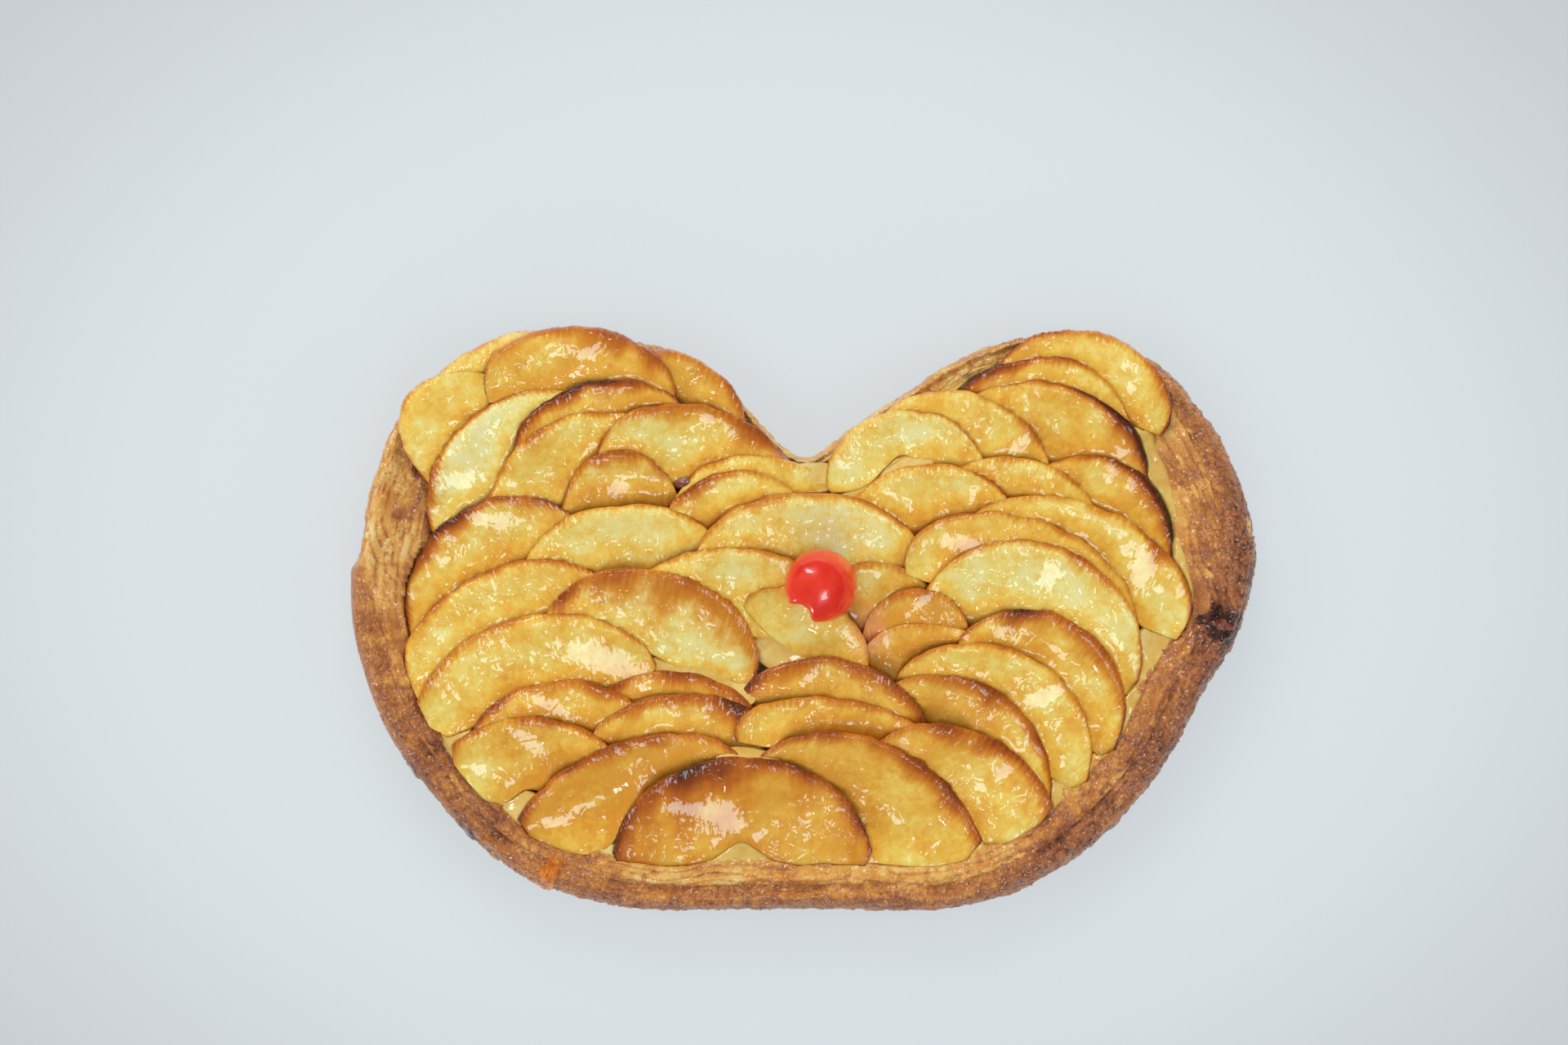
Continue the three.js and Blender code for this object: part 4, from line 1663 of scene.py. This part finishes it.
@dataclass
class PastryCase:
    """The puff pastry case: its rolled rim with flaky layers, and the floor below the filling."""

    node: str = "pastry_case"
    seed: int = 71
    lip_from: float = 0.5
    flap_start: tuple[float, float] = (170.5, 171.8)
    flap_end: tuple[float, float] = (204, 192)
    layer_step: float = 1.15 * MM
    layer_depth: float = 0.35 * MM
    lump_depth: float = 0.5 * MM
    knob_depth: float = 0.32 * MM
    grit_depth: float = 0.28 * MM
    sunk: float = 0.4 * MM
    flap_lift: float = 0.9 * MM
    gap_depth: float = 1.1 * MM
    gap_rise: tuple[float, float] = (140, 156)

    def build(self, rim: Rim, finish: bpy.types.Material) -> bpy.types.Object:
        """Makes the case.

        Args:
            rim: The rim as measured.
            finish: The pastry's material.

        Returns:
            The piece.
        """
        count, levels = rim.COUNT, rim.LEVELS
        form = bmesh.new()
        bmesh.ops.create_grid(form, x_segments=count, y_segments=levels - 1, size=0.5)
        places = np.array([vert.co[:] for vert in form.verts])
        column = np.round((places[:, 0] + 0.5) * count).astype(int) % count
        level = np.round((places[:, 1] + 0.5) * (levels - 1)).astype(int)
        skin, bake, gloss, across = self.skin(rim)
        rim.skin, rim.out = skin, rim.normals()
        for vert, i, j in zip(form.verts, column, level):
            vert.co = skin[i, j]
        order = form.verts.layers.int.new("order")
        for vert, i, j in zip(form.verts, column, level):
            vert[order] = int(i * levels + j)
        bmesh.ops.remove_doubles(form, verts=form.verts, dist=0.0001 * MM)
        rims = [edge for edge in form.edges if edge.is_boundary]
        for low in (True, False):
            ring = [edge for edge in rims if (edge.verts[0].co.z < 0.01 * MM) == low]
            bmesh.ops.contextual_create(form, geom=ring)
        index = np.array([vert[order] for vert in form.verts])
        i, j = index // levels, index % levels
        marks = rim.marks(bake[i, j], gloss[i, j], rim.arc[i], across[i, j])
        return make_piece("puff_pastry_case", form, finish, (self.node,), marks)

    def skin(self, rim: Rim) -> tuple[Array, Array, Array, Array]:
        """The rim's surface with its relief.

        Args:
            rim: The rim as measured.

        Returns:
            Points, browning with painted shade and light (darker in the relief's hollows and low on
            the outer side, paler on its tops), gloss and the distance across the section.
        """
        section, out = rim.section, rim.normals()
        steps = np.linalg.norm(np.diff(section, axis=1), axis=2)
        across = np.concatenate([np.zeros((rim.COUNT, 1)), np.cumsum(steps, axis=1)], axis=1)
        share = np.linspace(0, 1, rim.LEVELS)[None] * np.ones((rim.COUNT, 1))
        arc = rim.arc[:, None] * np.ones((1, rim.LEVELS))
        noises = RingNoise(rim, self.seed, arc, 12 * MM)
        toasts = np.array([(t.bearing, t.roll, t.lip, t.gloss) for t in TOASTS])
        roll, lip, gloss = (
            np.interp(rim.bearing, toasts[:, 0], column, period=360)[:, None]
            for column in toasts.T[1:]
        )
        inner = smoothstep(self.lip_from - 0.08, self.lip_from + 0.12, share)
        flaky = 0.35 + 0.65 * inner
        bend = 1.6 * MM * noises.at(0, across, 14 * MM, 5 * MM)
        lines = noises.grains[1].at(arc * 0, across + bend, self.layer_step)
        layers = lines * 0.6 + noises.at(2, across, 9 * MM, 0.9 * MM) * 0.6
        lumps = noises.at(3, across, 13 * MM, 8 * MM)
        knobs = 2 * np.abs(noises.at(4, across, 4.4 * MM, 3.2 * MM)) - 0.7
        knobs = knobs + 1.2 * np.abs(noises.at(7, across, 2.1 * MM, 1.7 * MM)) - 0.4
        grit = noises.at(5, across, 1.1 * MM, 1.0 * MM)
        relief = self.layer_depth * flaky * layers + self.lump_depth * lumps
        relief = relief + self.knob_depth * knobs + self.grit_depth * grit - self.sunk
        flap = smoothstep(*self.flap_start, rim.bearing) * smoothstep(*self.flap_end, rim.bearing)
        flap = flap[:, None] * smoothstep(0.5, 0.4, share)
        relief += (self.flap_lift - 0.8 * relief) * flap
        gap = smoothstep(self.flap_start[0] + 0.6, self.flap_start[0] - 0.6, rim.bearing)
        gap = (gap * smoothstep(*self.gap_rise, rim.bearing))[:, None]
        relief -= self.gap_depth * gap * smoothstep(0.45, 0.3, share)
        hold = smoothstep(0, 0.06, share) * smoothstep(0, 0.04, 1 - share)
        skin = section + out * (relief * hold)[..., None]
        skin[..., 2] = np.maximum(skin[..., 2], 0)
        bake = roll * (1 - inner) + lip * inner
        # Painted shade and light: the browning is raised in the relief's hollows and lowered on its
        # lumps, layers, knobs and grit, so hollows read darker and tops paler.
        bake = bake - 0.08 * lumps - 0.12 * layers * flaky - 0.1 * knobs - 0.07 * grit
        # Painted shade: the outer side of the roll is made browner towards the foot, where less
        # light falls.
        bake += 0.14 * smoothstep(0.3, 0.08, share)
        bake += (0.5 + 0.1 * layers - bake) * flap
        for spot in SPOTS:
            away = rim.off(spot.bearing)[:, None] / spot.half_turn
            near = np.hypot(away, (share - spot.share) / spot.half_share)
            near = near + 0.35 * noises.at(6, across, 3 * MM)
            bake += spot.change * smoothstep(1.2, 0.7, near)
        shine = gloss + 0.25 * noises.at(6, across, 8 * MM, 5 * MM)
        return Bounds.keep(skin), bake, shine * np.ones_like(bake), across


@dataclass(frozen=True)
class Ledge:
    """The layers inside the rim at one bearing.

    start and reach are shares of the rim's width, fall how far they drop towards the fruit, sheet
    the width of one layer, step the height of its edge, wander how far its line strays and fold the
    depth of broad folds, all in millimetres; bake and inner are how brown they are outside and next
    to the filling.
    """

    bearing: float
    start: float
    reach: float
    fall: float
    sheet: float
    step: float
    wander: float
    fold: float
    bake: float
    inner: float
    gloss: float


LEDGES = [
    Ledge(3, 0.5, 1.1, 4.5, 2.0, 0.5, 2.5, 0.5, 0.62, 0.4, 0.7),
    Ledge(9, 0.42, 1.1, 4.5, 3.4, 1.0, 4.0, 1.1, 0.42, 0.26, 0.8),
    Ledge(36, 0.38, 1.1, 4.5, 3.4, 1.0, 4.0, 1.1, 0.34, 0.22, 0.8),
    Ledge(50, 0.5, 1.1, 1.8, 2.6, 0.3, 1.5, 0.3, 0.14, 0.12, 0.5),
    Ledge(89, 0.5, 1.1, 1.2, 2.6, 0.1, 1.0, 0.1, 0.08, 0.04, 0.6),
    Ledge(110, 0.5, 1.1, 3.5, 2.2, 0.2, 1.5, 0.2, 0.24, 0.2, 0.4),
    Ledge(146, 0.4, 1.1, 4.0, 2.0, 0.8, 3.0, 0.6, 0.3, 0.2, 0.6),
    Ledge(153, 0.1, 1.5, 6.0, 2.9, 2.4, 5.0, 1.6, 0.2, 0.42, 0.8),
    Ledge(170, 0.12, 1.5, 6.0, 2.9, 2.4, 5.0, 1.6, 0.19, 0.42, 0.8),
    Ledge(180, 0.5, 1.4, 5.5, 2.8, 0.5, 2.4, 0.8, 0.42, 0.5, 0.8),
    Ledge(190, 0.55, 1.1, 3.5, 2.4, 0.15, 1.5, 0.3, 0.6, 0.54, 0.3),
    Ledge(224, 0.55, 1.1, 3.5, 2.4, 0.15, 1.5, 0.3, 0.58, 0.52, 0.3),
    Ledge(236, 0.5, 1.05, 3.0, 2.2, 0.9, 2.4, 0.5, 0.26, 0.18, 0.5),
    Ledge(306, 0.5, 1.05, 3.0, 2.2, 0.9, 2.4, 0.5, 0.24, 0.16, 0.5),
    Ledge(320, 0.5, 1.15, 3.5, 2.4, 0.15, 2.5, 0.3, 0.52, 0.4, 0.3),
    Ledge(352, 0.5, 1.15, 3.5, 2.4, 0.15, 2.5, 0.3, 0.58, 0.4, 0.3),
]


@dataclass
class InnerLayers:
    """The pastry's layers inside the rim: a sloping shelf with the edges of thin sheets."""

    seed: int = 1301
    rows: int = 30
    crumb: float = 0.22 * MM
    sunk: float = 0.2 * MM
    start_low: float = 0.4 * MM
    edge_sunk: float = 0.6 * MM
    thickness: float = 0.8 * MM
    lowest: float = 0.4 * MM
    under_fruit: float = 0.4 * MM

    def build(self, rim: Rim, fruit: BVHTree, finish: bpy.types.Material) -> bpy.types.Object:
        """Makes the shelf, a ring.

        Args:
            rim: The rim as measured.
            fruit: The slices' solids, which the shelf stays below.
            finish: The pastry's material.

        Returns:
            The piece.
        """
        shell, i = rim.ring(self.rows)
        values = np.array([list(vars(ledge).values()) for ledge in LEDGES])
        start, reach, fall, sheet, step, wander, fold, bake, inner, gloss = (
            np.interp(rim.bearing, values[:, 0], column, period=360)[i] for column in values.T[1:]
        )
        share = start + (reach - start) * shell.v
        across, arc = share * rim.width[i], rim.arc[i]
        noise = RingNoise(rim, self.seed, arc, 14 * MM).at
        stray = wander * noise(0, across, 17 * MM, 7 * MM) + 0.35 * noise(1, across, 3 * MM)
        line = (across / MM + stray) / sheet
        sheets = np.floor(line)
        place = line - sheets
        rise = smoothstep(0.74, 1.0, place)
        lifts = [0.7 + 0.7 * noise(2, number * 13 * MM, 15 * MM) for number in (sheets, sheets + 1)]
        lift = lifts[0] * (1 - rise) + lifts[1] * rise
        folds = fold * MM * noise(5, across + 9, 19 * MM, 4.5 * MM)
        edge = step * MM * lift * (0.55 - place ** 1.6 + rise) + folds
        bulge = np.abs(noise(3, across, 3.6 * MM, 2.6 * MM)) - 0.3
        crumbs = self.crumb * (2.6 * bulge + noise(4, across, 1.1 * MM))
        crumbs = crumbs * (1.6 - 0.9 * smoothstep(0.3, 0.8, gloss))
        skin = rim.on_top(i, across)
        first = np.unique(i, return_index=True)[1]
        starts = (start * rim.width[i])[first]
        brow = soften(rim.on_top(np.arange(rim.COUNT), starts)[:, 2], 4)
        slope = brow[i] - fall * MM * shell.v ** 1.2
        top = np.maximum(skin[:, 2] - self.sunk, slope)
        top = top + (edge + crumbs) * smoothstep(0, 0.12, shell.v)
        top -= self.start_low * smoothstep(0.35, 0.0, shell.v)
        top = np.minimum(top, ceiling(fruit, skin, self.under_fruit))
        height = np.where(shell.upper, top, np.minimum(skin[:, 2], top) - self.thickness)
        height = np.where((shell.v == 0) & shell.upper, skin[:, 2] - self.edge_sunk, height)
        shell.move(np.column_stack([skin[:, :2], np.maximum(height, self.lowest)]))
        # Painted shade and light: the layers are browner in the grooves at the sheets' edges, more
        # so where the step is tall, and paler where sheets lift or crumbs bulge.
        groove = smoothstep(0.7, 0.95, place) + 0.6 * smoothstep(0.14, 0.0, place)
        bake = bake + 0.17 * groove * step + 0.16 * noise(5, across, 7 * MM) - 0.1 * lift
        bake += 0.8 * (inner - bake) * smoothstep(0.5, 0.95, shell.v) - 0.26 * bulge
        kept = shell.close_ring(0.0001 * MM)
        marks = rim.marks(bake[kept], gloss[kept], arc[kept], across[kept])
        return make_piece("pastry_layers", shell.form, finish, (), marks)


@dataclass
class SugarGrains:
    """Grains of sugar and crumbs stuck to the rolled rim."""

    seed: int = 77
    count: int = 5000
    least: float = 0.25 * MM
    most: float = 0.62 * MM
    middle: float = 0.36
    scatter: float = 0.16
    levels: tuple[float, float] = (0.06, 0.8)
    bare: tuple[tuple[float, float], ...] = ((56, 128), (144, 190))

    def build(self, rim: Rim, finish: bpy.types.Material) -> bpy.types.Object:
        """Scatters the grains.

        Args:
            rim: The rim with its finished skin.
            finish: The grains' material.

        Returns:
            The piece.
        """
        draw = np.random.default_rng(self.seed)
        bare = [(rim.bearing > start) & (rim.bearing < end) for start, end in self.bare]
        sugared = np.flatnonzero(~np.any(bare, axis=0))
        form, cube, one = bmesh.new(), bpy.data.meshes.new("cube"), bmesh.new()
        bmesh.ops.create_cube(one, size=1)
        one.to_mesh(cube)
        one.free()
        for _ in range(self.count):
            form.from_mesh(cube)
        form.verts.ensure_lookup_table()
        for k in range(self.count):
            i = draw.choice(sugared)
            level = np.clip(draw.normal(self.middle, self.scatter), *self.levels)
            j = int(level * (rim.LEVELS - 1))
            size = draw.uniform(self.least, self.most)
            turn = Matrix.Rotation(draw.uniform(0, math.tau), 4, "Z")
            turn = turn @ Matrix.Rotation(draw.uniform(0, 1.5), 4, "X")
            low, high = np.array(Bounds.low) + size, np.array(Bounds.high) - size
            place = Vector(np.clip(rim.skin[i, j] - rim.out[i, j] * 0.34 * size, low, high))
            lie = Matrix.Translation(place) @ turn @ Matrix.Scale(size, 4)
            for vert in form.verts[8 * k:8 * k + 8]:
                vert.co = lie @ vert.co
        return make_piece("sugar_grains", form, finish)


@dataclass(frozen=True)
class SyrupPatch:
    """Syrup that ran over the rim and set: a rounded puddle that follows the skin."""

    name: str
    bearing: float
    level: float
    half_width: float
    half_run: float
    depth: float
    seed: int = 31
    steps: int = 40

    def build(self, rim: Rim, finish: bpy.types.Material) -> bpy.types.Object:
        """Makes the puddle.

        Args:
            rim: The rim with its finished skin.
            finish: The syrup's material.

        Returns:
            The piece.
        """
        shell = Shell(self.steps, self.steps)
        grain = Grain(self.seed)
        x, y, turn, ring = shell.disc()
        radius = ring * (0.75 + 0.25 * grain.at(turn * 1.2 + 20, 0, 0.6))
        middle = int(rim.off(self.bearing).argmin())
        step = rim.around / rim.COUNT
        off = radius * np.cos(turn) * self.half_width / step
        i = np.round(middle + off).astype(int) % rim.COUNT
        j = (self.level + radius * np.sin(turn) * self.half_run) * (rim.LEVELS - 1)
        j = np.clip(j, 1, rim.LEVELS - 2)
        j0 = np.floor(j).astype(int)
        part = (j - j0)[:, None]
        on_skin = rim.skin[i, j0] * (1 - part) + rim.skin[i, j0 + 1] * part
        out = rim.normals()[i, j0]
        thick = self.depth * quarter_round(1 - ring, 0.6) * (0.7 + 0.3 * grain.at(x, y, 0.35))
        height = np.where(shell.upper, thick, -0.3 * MM)
        shell.move(on_skin + out * height[:, None])
        return make_piece(self.name, shell.form, finish)


DRIP = SyrupPatch("syrup_drip", 223.5, 0.55, 3.2 * MM, 0.42, 1.0 * MM)

BURNT_PATCHES = [
    SyrupPatch("burnt_syrup_left", 199, 0.35, 4 * MM, 0.14, 0.6 * MM, 33),
    SyrupPatch("burnt_syrup_lower_left", 210, 0.3, 5 * MM, 0.14, 0.6 * MM, 35),
    SyrupPatch("burnt_syrup_right", 0.5, 0.55, 2.2 * MM, 0.16, 0.4 * MM, 37),
]


# ---- custard -----------------------------------------------------------------------------------
@dataclass
class Custard:
    """The bed of baked custard, slightly uneven."""

    node: str = "custard"
    seed: int = 401
    columns: int = 320
    rings: int = 44
    edge_ease: float = 0.7
    wave_depth: float = 0.35 * MM
    ripple_depth: float = 0.18 * MM
    sunk: float = 0.3 * MM

    def build(self, solid: bpy.types.Object, finish: bpy.types.Material) -> bpy.types.Object:
        """Makes the custard.

        Args:
            solid: Its solid.
            finish: Its material.

        Returns:
            The piece.
        """
        form = merged_form(solid)
        tree = BVHTree.FromBMesh(form)
        low = min(vert.co.z for vert in form.verts)
        foot = np.array([vert.co[:2] for vert in form.verts if vert.co.z < low + 0.01 * MM])
        form.free()
        hub, ring = spokes(foot)
        shell = Shell(self.columns, self.rings)
        edge = catmull_rom(ring, (shell.u * len(ring)) % len(ring), closed=True)
        share = shell.v + self.edge_ease * np.sin(np.pi * shell.v) / np.pi * (1 - shell.v) * 0.5
        plan = hub + edge * (0.999 * np.clip(share, 0, 1))[:, None]
        tops = np.full(len(plan), low)
        for i, (x, y) in enumerate(plan):
            hit = tree.ray_cast(Vector((x, y, 1)), Vector((0, 0, -1)))[0]
            tops[i] = hit.z if hit else low
        grains = Grain.several(self.seed, 2)
        relief = self.wave_depth * grains[0].over(plan, 6 * MM)
        relief += self.ripple_depth * grains[1].over(plan, 2.2 * MM)
        fade = smoothstep(0, 0.01, 1 - shell.v)
        height = np.where(shell.upper, np.maximum(tops + (relief - self.sunk) * fade, low), low)
        shell.move(np.column_stack([plan, height]))
        shell.close_ring(0.002 * MM)
        return make_piece("baked_custard", shell.form, finish, (self.node,))


@dataclass
class CustardBank:
    """Custard that stands between the fruit and the rim's layers, all the way round."""

    seed: int = 431
    rows: int = 24
    first: float = 0.9
    run: float = 10 * MM
    sunk: float = 0.3 * MM
    dive: float = 1.6 * MM
    lump_depth: float = 0.3 * MM
    buried: float = 0.4 * MM
    thickness: float = 1.2 * MM
    lowest: float = 1 * MM
    under_fruit: float = 0.35 * MM
    low_at: float = 166.0
    low_by: float = 4.0 * MM
    low_range: tuple[float, float] = (34, 22)

    def build(
        self, rim: Rim, fruit: BVHTree, pool: GlazePool, finish: bpy.types.Material
    ) -> bpy.types.Object:
        """Makes the bank, a ring.

        Args:
            rim: The rim as measured.
            fruit: The slices' solids, which the bank stays below.
            pool: The glaze, whose level it follows.
            finish: The custard's material.

        Returns:
            The piece.
        """
        shell, i = rim.ring(self.rows)
        across = self.first * rim.width[i] + self.run * shell.v
        skin = rim.on_top(i, across)
        lumps = self.lump_depth * Grain(self.seed).over(skin, 3.4 * MM)
        fade = 1 - smoothstep(0, 0.16, shell.v) * smoothstep(0, 0.1, 1 - shell.v)
        level = pool.sample(pool.level, skin) - self.sunk + lumps - self.dive * fade
        level -= self.low_by * smoothstep(*self.low_range, np.abs(rim.bearing[i] - self.low_at))
        bare = pool.sample(pool.spread(pool.owner < 0, 1), skin)
        under = np.minimum(level, ceiling(fruit, skin, self.under_fruit))
        top = np.maximum(under + (level - under) * bare, skin[:, 2] - self.buried)
        height = np.where(shell.upper, top, skin[:, 2] - self.thickness)
        shell.move(np.column_stack([skin[:, :2], np.maximum(height, self.lowest)]))
        shell.close_ring(0.0001 * MM)
        return make_piece("custard_bank", shell.form, finish)


@dataclass(frozen=True)
class GlazeDrop:
    """Glaze or custard that fills a small hollow between slices; lengths in millimetres."""

    name: str
    centre: tuple[float, float]
    half: tuple[float, float]
    turn: float = 0.0
    sunk: float = 0.1
    dome: float = 1.2
    depth: float = 2.0
    slot: str = "custard"
    steps: int = 24

    def build(self, pool: GlazePool, finish: bpy.types.Material) -> bpy.types.Object:
        """Makes the drop.

        Args:
            pool: The glaze, whose level it follows.
            finish: Its material.

        Returns:
            The piece.
        """
        shell = Shell(self.steps, self.steps)
        _, _, angle, ring = shell.disc()
        half, centre = np.array(self.half) * MM, np.array(self.centre) * MM
        along, across = half[0] * ring * np.cos(angle), half[1] * ring * np.sin(angle)
        cos, sin = math.cos(math.radians(self.turn)), math.sin(math.radians(self.turn))
        plan = np.column_stack([along * cos - across * sin, along * sin + across * cos]) + centre
        top = pool.sample(pool.level, plan) - self.sunk * MM - self.dome * MM * ring ** 3
        height = np.where(shell.upper, top, top - 0.1 * MM - self.depth * MM * (1 - ring ** 2))
        shell.move(np.column_stack([plan, height]))
        return make_piece(self.name, shell.form, finish)


SPECK = GlazeDrop("baked_speck", (-33.6, 37.6), (2.7, 1.5), 12, -0.5, slot="baked_apple")

POCKETS = [
    GlazeDrop("custard_pocket", (-7, -9), (8, 5.5), -20),
    GlazeDrop("lower_pocket", (-29.5, -14.4), (14, 4.2), -10),
    GlazeDrop("low_pocket", (-15.5, -38.6), (9, 3.6), -8, 0.2),
    GlazeDrop("mid_pocket", (-17.6, -20.4), (4.5, 3.4), -20),
    GlazeDrop("crease_pocket", (15.6, 36.2), (6, 3), 32, 0.5),
    GlazeDrop("core_pocket", (28.4, 42.6), (9, 3.2), 20, 0.3),
    GlazeDrop("cleft_pocket", (2.4, 39), (9, 4.2), 0, 0.0),
]


# ---- cherry ------------------------------------------------------------------------------------
@dataclass
class Cherry:
    """Half a glacé cherry with the notch of its stalk end."""

    node: str = "cherry"
    seed: int = 905
    sides: int = 24
    columns: int = 96
    rings: int = 40
    dent: float = 0.12 * MM
    sunk: float = 0.1 * MM

    def build(self, solid: bpy.types.Object, finish: bpy.types.Material) -> bpy.types.Object:
        """Makes the cherry.

        Args:
            solid: Its solid.
            finish: Its material.

        Returns:
            The piece.
        """
        form = merged_form(solid)
        points = np.array([vert.co[:] for vert in form.verts])
        form.free()
        off_middle = np.linalg.norm(points[:, :2] - points[:, :2].mean(0), axis=1)
        middle = off_middle < 0.1 * np.ptp(points[:, 0])
        apex = points[np.where(middle, points[:, 2], 0).argmax()]
        reach = np.linalg.norm(points[:, :2] - apex[:2], axis=1)
        angles = np.arctan2(points[:, 1] - apex[1], points[:, 0] - apex[0])
        sector = np.round(angles / (2 * np.pi) * self.sides).astype(int) % self.sides
        foot = []
        for k in range(self.sides):
            here = np.flatnonzero((sector == k) & (reach > 0.3 * reach.max()))
            widest = here[reach[here] > reach[here].max() - 0.02 * MM]
            foot.append(points[widest[points[widest, 2].argmin()]])
        foot = np.array(foot)
        level = foot[:, 2].mean()
        shell = Shell(self.columns, self.rings)
        rim = catmull_rom(foot, (shell.u * self.sides) % self.sides, closed=True)
        share = np.sin(np.pi / 2 * (1 - shell.v))
        spoke = rim[:, :2] - apex[:2]
        size = np.linalg.norm(spoke, axis=1)
        common = np.median(np.linalg.norm(foot[:, :2] - apex[:2], axis=1))
        evened = common + (size - common) * share ** 4
        plan = apex[:2] + spoke / size[:, None] * (share * evened)[:, None]
        base = level + (rim[:, 2] - level) * share ** 3
        top = points[:, 2].max() - level
        dome = top * np.sqrt(np.clip(1 - share ** 2, 0, 1)) ** 0.9
        dents = self.dent * Grain(self.seed).over(plan, 4 * MM) * (1 - share)
        dome = np.maximum(dome + dents - self.sunk * (1 - share), 0)
        height = base + np.where(shell.upper, dome, 0)
        shell.move(np.column_stack([plan, height]))
        shell.close_ring(0.002 * MM)
        return make_piece("glace_cherry_half", shell.form, finish, (self.node,))


# ---- the whole ---------------------------------------------------------------------------------
def main() -> None:
    """Builds the tart's looks round its solids."""
    logging.basicConfig(level=logging.INFO, format="%(message)s")
    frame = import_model()
    solid_low, solid_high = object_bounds()
    Bounds.low, Bounds.high = solid_low, solid_high
    nodes = frame["nodes"]
    Studio().build()
    low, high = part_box("cherry")
    apple = GlazedApple(tuple((low + high) / 2)).make()
    pile = bmesh.new()
    for name, node in nodes.items():
        if name.startswith(("apple_", "cherry")):
            pile.from_mesh(node.data)
    fruit = BVHTree.FromBMesh(pile)
    pile.free()
    pool = SliceRows().build(nodes, apple)
    rim, crust = Rim(nodes["pastry_case"]), BakedCrust().make()
    case = PastryCase().build(rim, crust)
    layers = InnerLayers().build(rim, fruit, crust)
    pool.include(np.array([vert.co[:] for piece in (case, layers) for vert in piece.data.vertices]))
    SugarGrains().build(rim, SugarCrystal().make())
    amber = SetSyrup((248, 150, 46), (200, 100, 32)).make("amber_syrup")
    DRIP.build(rim, amber)
    burnt = SetSyrup((150, 84, 62), (92, 48, 42)).make("burnt_syrup")
    for patch in BURNT_PATCHES:
        patch.build(rim, burnt)
    custard = BakedCustard().make()
    Custard().build(nodes["custard"], custard)
    CustardBank().build(rim, fruit, pool, custard)
    SPECK.build(pool, burnt)
    for pocket in POCKETS:
        pocket.build(pool, custard)
    Cherry().build(nodes["cherry"], GlaceCherry().make())


if __name__ == "__main__":
    main()
